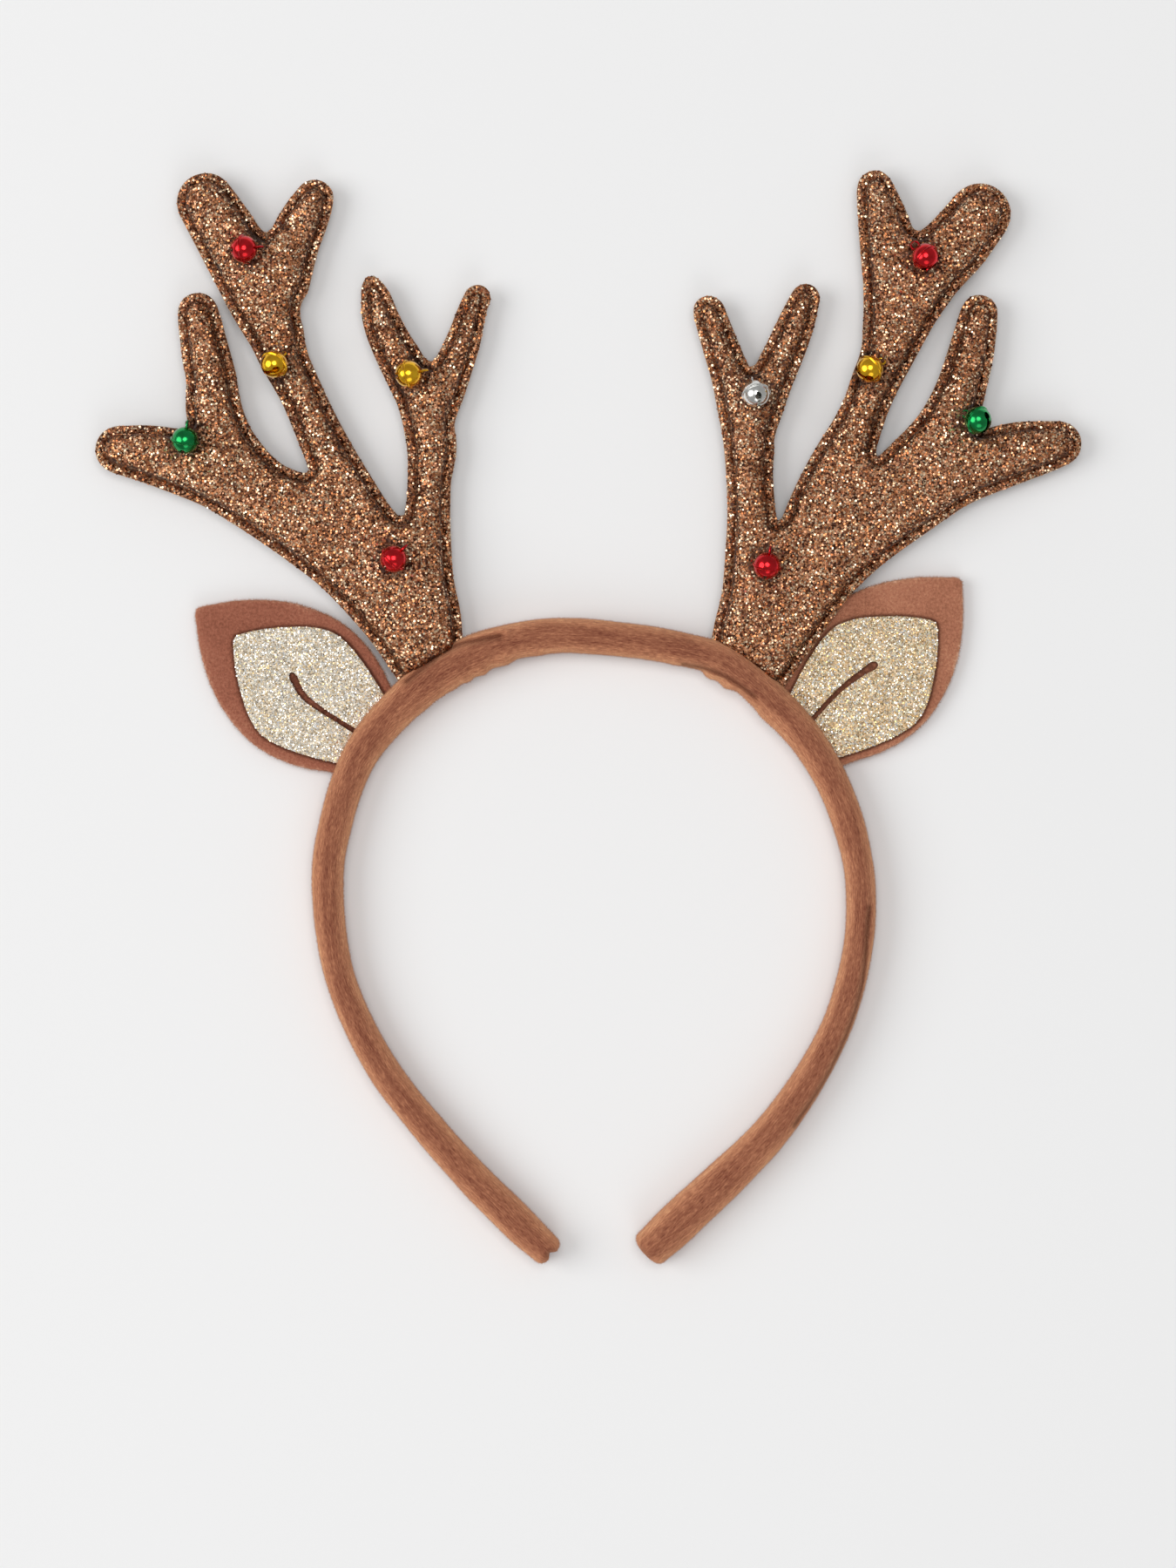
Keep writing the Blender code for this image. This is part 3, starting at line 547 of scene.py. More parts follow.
def stitchTree(material):
    tree, given = newTree("stitchesOnSeam", {"Stitch Length": 2.0, "Stitch Pitch": 2.6, "Thread": 0.3})
    path = addNode(tree, "GeometryNodeMeshToCurve", inputs={0: given["Geometry"]})
    dots = addNode(tree, "GeometryNodeCurveToPoints", {"mode": "LENGTH"}, {
        "Curve": path, "Length": given["Stitch Pitch"]})
    bead = addNode(tree, "GeometryNodeMeshUVSphere", inputs={"Segments": 6, "Rings": 5, "Radius": 0.5})
    size = addNode(tree, "ShaderNodeCombineXYZ", inputs={
        0: given["Thread"], 1: given["Thread"], 2: given["Stitch Length"]})
    return closeTree(tree, placed(tree, dots, bead, dots.outputs["Rotation"], size), material)


def glittered(piece, tree, look, back, seed):
    return runTree(piece, tree, {
        "Flake Size": look["flakeSize"] * mm, "Spacing": look["flakeSpacing"] * mm,
        "Tilt": look["flakeTilt"], "Back Share": back, "Seed": seed}, piece.name + "Glitter")


def fuzzed(piece, tree, look, seed, name):
    return runTree(piece, tree, {
        "Fibre Length": look["fibreLength"] * mm, "Fibre Width": look["fibreWidth"] * mm,
        "Fibres per m2": look["fibreCount"] * 1e6, "Tilt": look["fibreTilt"], "Seed": seed}, name)
# Materials

antlerGlitter = {
    "flake": 0.5,  # real flakes are near 0.4 mm, drawn coarser so that they show
    "metallic": 0.6, "roughness": 0.38, "tilt": 1.0, "glueAndShade": "#33190E",
    "tones": ((0.0, "#4A2716"), (0.2, "#8A5235"), (0.42, "#BF7F56"),
              (0.68, "#E3A577"), (0.86, "#FFDDB4")),
}
antlerCloth = glitterSheet("glitterClothOnFelt", antlerGlitter)
antlerEdge = plainFinish("cutFeltEdge", "#B98F6E", 0.0, 0.9)  # the pale backing at the cut edge
antlerFlakes = [plainFinish(name, colour, 1.0, 0.28) for name, colour in (
    ("flakeUmber", "#5E3420"), ("flakeBronze", "#A5653F"), ("flakeCopper", "#D6905F"),
    ("flakeRose", "#F2B48C"), ("flakeChampagne", "#FFE2BE"))]

# The two panels are copies of one glitter sheet toned apart as painted light and shade: the left one paler
# and silvery, the right one darker and more golden.
panelLooks = {
    "left": {
        "flake": 0.4, "metallic": 0.25, "roughness": 0.42, "tilt": 0.9, "glueAndShade": "#AFA289",
        "tones": ((0.0, "#B2A591"), (0.2, "#E2CCAA"), (0.45, "#F8E8D2"),
                  (0.7, "#FFFAEA"), (0.9, "#FFFFFF")),
        "flakes": (("flakePewter", "#B7A997"), ("flakePaleGold", "#F5D49A"), ("flakeIvory", "#FFF4DF"),
                   ("flakeSilver", "#FFFFF8"), ("flakeWhite", "#FFFFFF"))},
    "right": {
        "flake": 0.4, "metallic": 0.25, "roughness": 0.42, "tilt": 0.9, "glueAndShade": "#9E8867",
        "tones": ((0.0, "#A69072"), (0.2, "#E1BF93"), (0.45, "#FCDEB6"),
                  (0.7, "#FFF7D9"), (0.9, "#FFFFFF")),
        "flakes": (("flakeOldGold", "#AF946B"), ("flakeGold", "#FFD48E"), ("flakeCream", "#FFF7D4"),
                   ("flakeBuff", "#FFEAD0"), ("flakeWhiteGold", "#FFFFFA"))},
}
panelEdge = plainFinish("cutGlitterSheetEdge", "#D9CDB4", 0.0, 0.6)

hoopVelvet = pile("brushedVelvet", {
    "along": True, "streak": (1.7, 0.3, 1.0), "patch": (11.0, 1.5, 1.0), "grain": 0.4,
    "bump": 0.8, "sheen": 0.45, "sheenTint": "#F0B68C", "uneven": 0.55, "rim": 0.42,
    "tones": ((0.05, "#774030"), (0.3, "#9C6249"), (0.6, "#C88865"), (0.95, "#F9C292")),
    # the colour of the painted shade in the creases
    "paintedShadeTone": "#5A2E20"})
velourTones = {  # the right ear's copy has paler tones: painted light, where its brushed pile catches more light
    "left": ((0.05, "#88513E"), (0.35, "#A2634E"), (0.65, "#B2765D"), (0.95, "#D7A28A")),
    "right": ((0.05, "#966048"), (0.35, "#B2745A"), (0.65, "#C58A6B"), (0.95, "#EEBC9E"))}
earVelour = {side: pile(f"velourFelt{side.title()}", {
    "along": False, "streak": (0.7, 0.7, 0.7), "patch": (9.0, 9.0, 9.0), "grain": 0.4,
    "bump": 0.9, "sheen": 0.35, "sheenTint": "#E8B090", "uneven": 0.6, "rim": 0.5,
    # the colour of the painted shade in the groove round the panel
    "tones": tones, "paintedShadeTone": "#4E2A1D"}) for side, tones in velourTones.items()}
looseFibre = plainFinish("looseVelvetFibre", "#B98465", 0.0, 0.9)
seamThread = plainFinish("brownSewingThread", "#6B4330", 0.0, 0.7)
bellMetals = {
    "red": platedMetal("redLacqueredSteel", "#B8060E", "#E01420"),
    "gold": platedMetal("goldPlatedSteel", "#E0A010", "#FFC81E"),
    "green": platedMetal("greenLacqueredSteel", "#007A3C", "#06A050"),
    "silver": platedMetal("nickelPlatedSteel", "#D8D8D4", "#F4F4F0"),
}
print("materials made")


def finished(piece, slot, *replaced):
    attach(piece, "root")
    if replaced:
        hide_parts(*replaced)
    return piece


# Antlers: two layers of glitter cloth sewn near their edge, stuffed inside the seam

antler = {
    "seamIn": 2.0,  # from the cut edge to the stitches
    "seamWide": 0.38,  # of the groove that the stitches pull
    "seamDip": 0.4,  # how far the stitches pull each layer in
    "seamRings": (-0.3, 0.0, 0.35, 0.9, 1.7),  # mesh rings beside the seam
    "edgeRings": (0.35, 1.3),
    "ringStep": 0.85,
    "puff": 4.6,  # how far the stuffing lifts a layer where the antler is widest
    "edgeRound": 0.28,
    "edgeWide": 0.25,
    "bellDip": 0.8,  # the fabric is drawn in where a bell is sewn on
    "bellDipWide": 3.6,
    "pucker": 0.80,  # small creases that start at the stitches
    "puckerLength": 3.2,
    "puckerRise": 1.2,
    "puckerFade": 2.2,
    "lumps": 0.45,  # uneven stuffing
    "lumpSize": 11.0,
    "lumpLift": 2.5,  # the stuffing's height where lumps reach their full size
    # The three shades below are painted shade in the glitter's colour: in the stitched groove, a painted
    # shadow round each bell, and on slopes that turn away from above.
    "seamShade": (0.25, 0.5),  # dark share and width
    "bellShade": (0.65, 3.9, 1.3),  # dark share, distance from the bell's middle and width
    "slopeShade": (0.6, 0.94, 0.4),  # dark share, the slope where it starts and its range
    "flakeSize": 0.56,
    "flakeSpacing": 0.50,
    "flakeTilt": 0.5,  # radians
    "offTable": 0.4,
    "backFlakes": 0.3,  # flakes on the underside, as a share
    "stitchPitch": 2.5,
    "stitchLength": 1.8,
    "thread": 0.26,
}


def blownSkin(leaf, seamIn, most, cell=0.7, rounds=1500):
    # A skin held at the stitches and blown up from inside: wide places rise most.
    low = leaf.corners[0]
    xs, ys = gridOver(leaf.corners, cell)
    depth, _ = leaf.depth(np.stack([xs.ravel(), ys.ravel()], axis=1))
    free = (depth > seamIn).reshape(xs.shape)
    skin = np.zeros(xs.shape)
    for _ in range(rounds):
        around = np.roll(skin, 1, 0) + np.roll(skin, -1, 0) + np.roll(skin, 1, 1) + np.roll(skin, -1, 1)
        skin = free * (around + cell**2) / 4

    def skinAt(points):
        place = (points - low) / cell
        corner = np.clip(np.floor(place).astype(int), 0, np.array(skin.shape) - 2)
        x, y = corner.T
        across, up = np.clip(place - corner, 0, 1).T
        value = (skin[x, y] * (1 - across) + skin[x + 1, y] * across) * (1 - up)
        value += (skin[x, y + 1] * (1 - across) + skin[x + 1, y + 1] * across) * up
        return most * np.tanh(np.sqrt(2 * value) / most)

    return skinAt

def wave(points, size, offset):
    return np.array([noise.noise(Vector((x / size, y / size, offset))) for x, y in points])


stitches = stitchTree(seamThread)
glitterOver = flakeTree(antlerFlakes)
bellSpots = {node: (np.array(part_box(node)[0]) + np.array(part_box(node)[1]))[:2] / 2 / mm
             for node in nodes if node.startswith("bell_")}


def bellReach(points, side):
    # How far each point is from the nearest bell's middle.
    spots = [spot for node, spot in bellSpots.items() if side in node]
    return np.min([lengths(points - spot) for spot in spots], axis=0)


def antlerLayer(layer, flat, depth, nearest, lift, drawn):
    # The height of one layer of cloth over the seam's own level.
    fromSeam = depth - antler["seamIn"]
    shown = np.clip(fromSeam / antler["puckerRise"], 0, 1)
    shown = shown * np.exp(-np.clip(fromSeam - antler["puckerRise"], 0, 9) / antler["puckerFade"])
    along = nearest * 0.5 / antler["puckerLength"]
    ripple = np.array([noise.noise(Vector((s, layer * 9.0, d * 0.25))) for s, d in zip(along, depth)])
    lumps = wave(flat, antler["lumpSize"], 3.0 + layer * 5) * np.clip(lift / antler["lumpLift"], 0, 1)
    fabric = lift + antler["pucker"] * ripple * shown + antler["lumps"] * lumps
    return np.maximum(fabric - drawn, 0)


def seamStitches(leaf, side, middle, half):
    points, links = [], []
    for level in leaf.inner(antler["seamIn"]):
        ring = respaced(level, 0.8)
        for sign in (1, -1):
            height = middle + sign * (half - antler["seamDip"] + 0.06)
            links += ringEdges(len(points), len(ring))
            points.extend((*spot, height) for spot in ring)
    guide = addObject("seamGuide", bpy.data.meshes.new("seamGuide"))
    guide.data.from_pydata(np.array(points) * mm, links, [])
    sewn = runTree(guide, stitches, {
        "Stitch Length": antler["stitchLength"] * mm, "Stitch Pitch": antler["stitchPitch"] * mm,
        "Thread": antler["thread"] * mm}, f"antler{side.title()}Stitches")
    bpy.data.objects.remove(guide)
    return sewn


antlerTops = {}
for side in ("left", "right"):
    leaf = Leaf(f"antler_{side}")
    seamIn = antler["seamIn"]
    levels = antler["edgeRings"] + tuple(seamIn + away for away in antler["seamRings"])
    flat, faces = leaf.filled(levels, antler["ringStep"], 1.0)
    depth, nearest = leaf.depth(flat)
    depth = np.maximum(depth, 0.0)
    skinAt = blownSkin(leaf, seamIn, antler["puff"])
    lift = np.where(depth > seamIn + 0.05, skinAt(flat), 0.0)
    drawn = antler["bellDip"] * hump(bellReach(flat, side), antler["bellDipWide"])
    middle, half = (leaf.low + leaf.high) / 2, (leaf.high - leaf.low) / 2
    dip = antler["seamDip"] * hump(depth - seamIn, antler["seamWide"])
    rounding = antler["edgeRound"] * hump(depth, antler["edgeWide"])
    front = half + antlerLayer(0, flat, depth, nearest, lift, drawn) - dip - rounding
    back = half + antlerLayer(1, flat, depth, nearest, lift, 0) - dip - rounding
    edge = half - antler["edgeRound"]
    piece = twoSided(
        f"antler{side.title()}", flat, faces, middle + front,
        middle - np.minimum(back, middle - antler["offTable"]),
        ((0.10, middle + 0.55 * edge), (0.02, middle + 0.05), (0.02, middle - 0.05),
         (0.10, middle - 0.55 * edge)),
        (antlerCloth, antlerEdge))

    # Painted shade: darker in the stitched groove, in a painted shadow ring round each bell, and on slopes
    # that turn away from above.
    def paintedShadeAt(spots, facing):
        seamShare, seamWidth = antler["seamShade"]
        bellShare, bellOut, bellWidth = antler["bellShade"]
        slopeShare, slopeFrom, slopeRange = antler["slopeShade"]
        return (seamShare * hump(leaf.depth(spots[:, :2])[0] - seamIn, seamWidth)
                + bellShare * hump(bellReach(spots[:, :2], side) - bellOut, bellWidth)
                + slopeShare * np.clip((slopeFrom - abs(facing[:, 2])) / slopeRange, 0, 1))

    paint(piece, "paintedShade", paintedShadeAt)
    flakes = glittered(piece, glitterOver, antler, antler["backFlakes"], 11)
    sewn = seamStitches(leaf, side, middle, half)
    finished(piece, "glitter_fabric", f"antler_{side}")
    finished(flakes, "glitter_fabric")
    finished(sewn, "glitter_fabric")
    antlerTops[side] = (skinAt, middle + half)
    print("antler", side, len(piece.data.polygons), "flake faces", len(flakes.data.polygons))


# Ears: velour leaves with a panel of pale glitter sheet on the front

ear = {
    "fuzz": 0.16,  # how ragged the cut edge is
    "fuzzIn": 0.3,
    "softEdge": 0.5,
    "softIn": 0.35,
    "panelSoftEdge": 0.12,
    "grain": 0.06,
    "groove": 0.3,  # the stitched panel presses a groove into the velour round it
    "grooveOut": 0.2,  # from the panel's edge
    "grooveWide": 0.4,
    # The groove's shade below is painted shade, darkening the velour's colour round the panel.
    "grooveShade": (0.85, 0.38),  # dark share and width
    "sheenIn": 0.45,  # how far in from the cut edge the painted sheen and fibres reach
    "fibreLength": 0.75,
    "fibreWidth": 0.035,
    "fibreCount": 14,  # per square millimetre at the cut edge
    "fibreTilt": 0.9,
    "flakeSize": 0.40,
    "flakeSpacing": 0.37,
    "flakeTilt": 0.45,
}


def laidSheet(piece, slot, node, flat, **under):
    # A sheet that lies as it was cut, attached in place of its part. The flat points are not used.
    finished(piece, slot, node)


fuzz = fuzzTree(looseFibre)
for side in ("left", "right"):
    look = panelLooks[side]
    panelCloth = glitterSheet(f"glitterSheet{side.title()}", look)
    paleOver = flakeTree([plainFinish(name, tone, 1.0, 0.3) for name, tone in look["flakes"]])
    leaf, panelLeaf = Leaf(f"ear_{side}"), Leaf(f"ear_panel_{side}", 0.4)
    besidePanel = [respaced(loop, 0.5) for level in (0.4, 0.0, -0.4, -0.9) for loop in panelLeaf.inner(level)]
    flat, faces = leaf.filled((0.3, 0.8), 0.6, 1.3, besidePanel)
    depth = np.maximum(leaf.depth(flat)[0], 0.0)
    low, high = (corner.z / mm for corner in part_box(f"ear_{side}"))
    drop = ear["softEdge"] * np.exp(-depth / ear["softIn"])
    rimShift = wave(flat, 0.7, 4.0)[:, None] * ear["fuzz"] * np.exp(-depth / ear["fuzzIn"])[:, None]
    outwards = flat - flat.mean(axis=0)
    outwards = outwards / lengths(outwards)[:, None]
    groove = ear["groove"] * hump(-panelLeaf.depth(flat)[0] - ear["grooveOut"], ear["grooveWide"])
    grain = ear["grain"] * wave(flat, 0.9, 6.0)
    piece = twoSided(
        f"ear{side.title()}", flat + outwards * rimShift, faces,
        high - drop + grain - groove, low + drop + grain,
        ((0.08, (low + high) / 2),), (earVelour[side], earVelour[side]))

    # Painted shade in the groove round the panel, on the front layer only.
    def grooveShadeAt(spots, facing):
        share, width = ear["grooveShade"]
        out = -panelLeaf.depth(spots[:, :2])[0] - ear["grooveOut"]
        return share * hump(out, width) * (spots[:, 2] > (low + high) / 2)

    # Painted sheen: paler towards the cut edge, where the fibres also grow.
    def rimAt(spots, facing):
        return np.exp(-np.maximum(leaf.depth(spots[:, :2])[0], 0) / ear["sheenIn"])

    paint(piece, "sheenAndFuzz", rimAt)
    paint(piece, "paintedShade", grooveShadeAt)
    fibres = fuzzed(piece, fuzz, ear, 3, piece.name + "Fuzz")
    laidSheet(piece, "velour", f"ear_{side}", flat)
    finished(fibres, "velour")

    flat, faces = panelLeaf.filled((0.2,), 0.6, 1.2)
    soft = ear["panelSoftEdge"]
    drop = soft * np.exp(-np.maximum(panelLeaf.depth(flat)[0], 0) / soft)
    low, high = panelLeaf.low, panelLeaf.high
    panel = twoSided(
        f"earPanel{side.title()}", flat, faces, high - drop, low + drop,
        ((0.02, (low + high) / 2),), (panelCloth, panelEdge))
    flakes = glittered(panel, paleOver, ear, 0.0, 5)
    laidSheet(panel, "pale_glitter", f"ear_panel_{side}", flat, rests_on=[f"ear{side.title()}"])
    finished(flakes, "pale_glitter")
    print("ear", side, "flake faces", len(flakes.data.polygons), "fibre faces", len(fibres.data.polygons))
# Hoop: velvet sewn into a tube over padding, gathered where it wraps the antlers

hoop = {
    "rows": (  # x, y, width, from the left end round the crown to the right end
        (-10.5, -134.5, 7.8), (-18.5, -127.0, 8.8), (-34.5, -110.5, 8.2), (-52.0, -88.5, 7.8),
        (-62.5, -66.0, 7.3), (-65.7, -44.0, 7.7), (-64.0, -28.0, 8.1), (-57.5, -9.5, 8.7),
        (-44.0, 6.0, 9.9), (-29.0, 15.6, 9.9), (-13.5, 20.0, 8.8), (2.0, 20.2, 8.6),
        (24.0, 17.0, 8.4), (37.5, 11.5, 9.2), (53.5, -3.5, 8.6), (63.5, -20.5, 8.0),
        (68.7, -41.0, 7.3), (67.5, -62.0, 7.2), (60.5, -83.0, 7.6), (46.0, -105.0, 9.0),
        (24.5, -126.0, 10.4), (16.0, -134.0, 9.6)),
    "section": (  # across and up, as shares of half the width and of the depth
        (0.00, 1.00), (-0.48, 0.96), (-0.86, 0.81), (-1.00, 0.55), (-0.96, 0.28), (-0.80, 0.09),
        (-0.52, 0.00), (0.52, 0.00), (0.80, 0.09), (0.96, 0.28), (1.00, 0.55), (0.86, 0.81),
        (0.48, 0.96)),
    "depth": 10.0,
    "step": 0.65,  # between cross-sections
    "around": 60,  # points round a cross-section
    "fineStep": 0.01,  # round the cross-section before its points are spaced out
    "girth": 30.0,  # round the tube, for the pile's streaks
    "endRound": 2.4,
    "endAngles": (17, 34, 52, 70, 88),  # of the rings that close an end
    "swell": 0.03,
    "swellSize": 9.0,
    "bunchSize": 4.2,  # of the gathers at the inner edge
    "foldSize": 3.6,
    "foldHeight": 2.4,
    "ripple": 0.12,
    "rippleSize": 2.5,
    "fibreLength": 0.6,
    "fibreWidth": 0.03,
    "fibreCount": 7,  # per square millimetre where the painted sheen is full
    "fibreTilt": 0.9,
    "notch": 1.2,  # the tuck in the left end
    "notchWide": 0.26,  # as a share of half the width
    # The creases' shade is painted shade, darkening the velvet's colour along each crease.
    "creaseShade": (0.8, 0.6),  # dark share and width
    "creases": (  # x, y along each crease, then its depth and width
        (((-45.5, 9.0), (-40.5, 13.2), (-36.5, 16.0), (-32.0, 18.4), (-27.5, 19.3), (-22.0, 20.4)), 1.3, 0.8),
        (((-68.9, -60.0), (-66.5, -75.0), (-60.8, -88.0), (-52.0, -101.0)), 0.5, 0.6),
        (((70.9, -48.0), (68.5, -70.0), (61.0, -89.0), (52.0, -103.0)), 0.5, 0.6),
        (((24.0, 13.2), (30.0, 12.0), (36.5, 9.0), (42.0, 5.0)), 0.8, 0.8)),
    "gathers": (  # x, y of the middle, reach, and how far the inner edge is pushed
        (-27.0, 10.5, 13.0, 1.9), (34.0, 7.0, 13.0, 1.9)),
}


def splineRows(rows, steps):
    points = np.array(rows, float)
    points = np.vstack([2 * points[0] - points[1], points, 2 * points[-1] - points[-2]])
    curve = []
    for before, start, end, after in zip(points, points[1:], points[2:], points[3:]):
        for t in np.arange(steps) / steps:
            curve.append(start + 0.5 * ((end - before) * t + (2 * before - 5 * start + 4 * end - after) * t**2
                                        + (3 * start - before - 3 * end + after) * t**3))
    curve.append(points[-2])
    return np.array(curve)


def lineDistance(points, line):
    nearest = np.full(len(points), 1e9)
    for start, end in zip(line, line[1:]):
        along = end - start
        share = np.clip((points - start) @ along / (along @ along), 0, 1)
        nearest = np.minimum(nearest, lengths(points - start - share[:, None] * along))
    return nearest

def hoopRings():
    # Place, heading, width, scale and distance along of each cross-section.
    curve = splineRows(hoop["rows"], 24)
    reached = lengthAlong(curve[:, :2])
    wanted = np.linspace(0, reached[-1], round(reached[-1] / hoop["step"]) + 1)
    rows = np.stack([np.interp(wanted, reached, curve[:, i]) for i in range(3)], axis=1)
    ahead = np.gradient(rows[:, :2], axis=0)
    ahead /= lengths(ahead)[:, None]
    caps = []
    for beyond in hoop["endRound"] * np.sin(np.radians(hoop["endAngles"])):
        caps.append((beyond, (1 - (beyond / hoop["endRound"]) ** 2.3) ** 0.45))
    rings = [(rows[0, :2] - beyond * ahead[0], ahead[0], rows[0, 2], scale, -beyond)
             for beyond, scale in reversed(caps)]
    rings += [(row[:2], way, row[2], 1.0, s) for row, way, s in zip(rows, ahead, wanted)]
    rings += [(rows[-1, :2] + beyond * ahead[-1], ahead[-1], rows[-1, 2], scale, wanted[-1] + beyond)
              for beyond, scale in caps]
    return rings


def hoopPoint(ring, across, up):
    # A point of the velvet, with its swells, gathers, folds and the left end's tuck.
    place, way, width, scale, s = ring
    aside = np.array((way[1], -way[0]))
    swell = 1 + hoop["swell"] * noise.noise(Vector((s / hoop["swellSize"], across * 1.3, 1.0)))
    flat = place + aside * across * scale * width / 2 * swell
    height = hoop["depth"] * (0.5 + (up - 0.5) * scale)
    bunch = noise.noise(Vector((s / hoop["bunchSize"], 5.0, up * 0.8)))
    fold = noise.noise(Vector((s / hoop["foldSize"] + across * 2.2, 8.0, 0.0)))
    for x, y, reach, push in hoop["gathers"]:
        near = math.exp(-((place[0] - x) ** 2 + (place[1] - y) ** 2) / reach**2)
        flat = flat + aside * push * near * bunch * max(0.0, across) ** 1.5
        height += hoop["foldHeight"] * near * fold * max(0, up - 0.5) * max(0.0, across + 0.1)
    if s < 0.5:
        tuck = hoop["notch"] * hump(across * scale, hoop["notchWide"])
        flat = flat + way * tuck * min(1.0, (0.5 - s) / 2)
    height += hoop["ripple"] * noise.noise(Vector((s / hoop["rippleSize"], across * 2, up * 2))) * up
    return *flat, max(height, 0.0)


def makeHoop():
    section = smoothLoop(np.array(hoop["section"]) * (0.5, 1.0), 2 * hoop["fineStep"])
    section = respaced(section, hoop["fineStep"])
    section = respaced(section, len(section) * hoop["fineStep"] / hoop["around"]) / (0.5, 1.0)
    around = len(section)
    rings = hoopRings()
    total = len(rings)
    points, sheenShares = [], []
    for ring in rings:
        for across, up in section:
            points.append(hoopPoint(ring, across, up))
            # Painted sheen: paler towards the tube's sides, where it turns away from above, weaker on the end
            # caps and none along the underside; fibres grow there too.
            sheenShares.append(min(1.0, max(0.0, (abs(across) - 0.25) / 0.7)) ** 1.4
                        * (0.3 + 0.7 * ring[3]) * min(1.0, max(0.0, (up - 0.15) / 0.25)))
    points = np.array(points)
    grid = points.reshape(total, around, 3)
    upper = np.clip((grid[:, :, 2] / hoop["depth"] - 0.45) * 3, 0, 1)
    for line, depth, width in hoop["creases"]:
        away = lineDistance(points[:, :2], splineRows(line, 6)).reshape(total, around)
        lips = 0.4 * hump(away - 2.2 * width, 1.2 * width)
        grid[:, :, 2] -= depth * (hump(away, width) - lips) * upper
    points = grid.reshape(-1, 3)
    faces, runs = [], []
    for k in range(total - 1):
        near, far = rings[k][4], rings[k + 1][4]
        for i in range(around):
            j = (i + 1) % around
            a, b = k * around, (k + 1) * around
            faces.append((a + i, a + j, b + j, b + i))
            runs += [(near, i), (near, i + 1), (far, i + 1), (far, i)]
    for first, way in ((0, 1), ((total - 1) * around, -1)):
        tip = len(points)
        points = np.vstack([points, points[first:first + around].mean(axis=0)])
        for i in range(around):
            faces.append((first + (i + 1) % around, first + i, tip)[::way])
            runs += [(rings[0 if way > 0 else -1][4], n) for n in ((i + 1, i, i)[::way])]
    piece = newPiece("hoopVelvet", points, faces, [hoopVelvet], sharp=70)
    layer = piece.data.uv_layers.new(name="velvetRun")
    stride = hoop["girth"] / around
    layer.data.foreach_set("uv", np.array([(s * mm, i * stride * mm) for s, i in runs]).ravel())
    turnFacesOut(piece.data)
    sheenAndFuzz = piece.data.attributes.new("sheenAndFuzz", "FLOAT", "POINT")
    sheenAndFuzz.data.foreach_set("value", sheenShares + [0.3, 0.3])
    return piece


# Painted shade along the creases, on the upper part of the band.
def creaseShadeAt(spots, facing):
    share, width = hoop["creaseShade"]
    dark = [share * hump(lineDistance(spots[:, :2], splineRows(row[0], 6)), width) for row in hoop["creases"]]
    return (spots[:, 2] > 0.35 * hoop["depth"]) * np.max(dark, axis=0)


velvet = makeHoop()
paint(velvet, "paintedShade", creaseShadeAt)
fibres = fuzzed(velvet, fuzz, hoop, 4, "hoopFuzz")
finished(velvet, "velvet", "band")
finished(fibres, "velvet")
print("hoop", len(velvet.data.polygons), "fibre faces", len(fibres.data.polygons))


# Bells: two stamped halves crimped together, with keyhole slots and a wire loop

bell = {
    "radius": 3.4,
    "wall": 0.35,
    "sides": 48,
    "rimOut": 0.3,
    "rimHalf": 0.24,
    "slotWidth": 0.8,
    "holeRadius": 0.8,
    "holeOut": 2.1,
    "loopRadius": 1.0,
    "loopWire": 0.26,
    "loopOut": 0.75,
    "threadOut": 0.5,  # from the loop's middle to where the thread crosses its wire
    "threadReach": 0.9,  # from the crossing to where the thread enters the fabric
    "threadIn": 0.6,  # how deep it enters
    "threadRadius": 0.13,
    "threadPlaces": (-0.35, 0.0, 0.4),
    "turns": {  # heading and lift of the loop, turn of the slot, in degrees, then colour
        "bell_left_1": (5, 18, 0, "red"),
        "bell_left_2": (55, -38, 40, "gold"),
        "bell_left_3": (10, 18, 0, "gold"),
        "bell_left_4": (80, 20, 0, "green"),
        "bell_left_5": (45, 22, 0, "red"),
        "bell_right_1": (130, -20, 90, "red"),
        "bell_right_2": (35, -30, 60, "gold"),
        "bell_right_3": (105, -35, 8, "silver"),
        "bell_right_4": (150, -38, 60, "green"),
        "bell_right_5": (80, 22, 0, "red"),
    },
}


def spunSolid(profile, sides):
    bm = bmesh.new()
    verts = [bm.verts.new((radius, 0, height)) for radius, height in profile]
    edges = [bm.edges.new(pair) for pair in zip(verts, verts[1:])]
    bmesh.ops.spin(bm, geom=verts + edges, cent=(0, 0, 0), axis=(0, 0, 1), angle=2 * math.pi, steps=sides)
    bmesh.ops.remove_doubles(bm, verts=bm.verts, dist=1e-3)
    return bm

def meshObject(name, bm):
    bmesh.ops.recalc_face_normals(bm, faces=bm.faces)
    mesh = bpy.data.meshes.new(name)
    bm.to_mesh(mesh)
    bm.free()
    return addObject(name, mesh)


def ballArc(radius, first, last, steps):
    angles = np.radians(np.linspace(first, last, steps + 1))
    return [(radius * math.cos(a), radius * math.sin(a)) for a in angles]


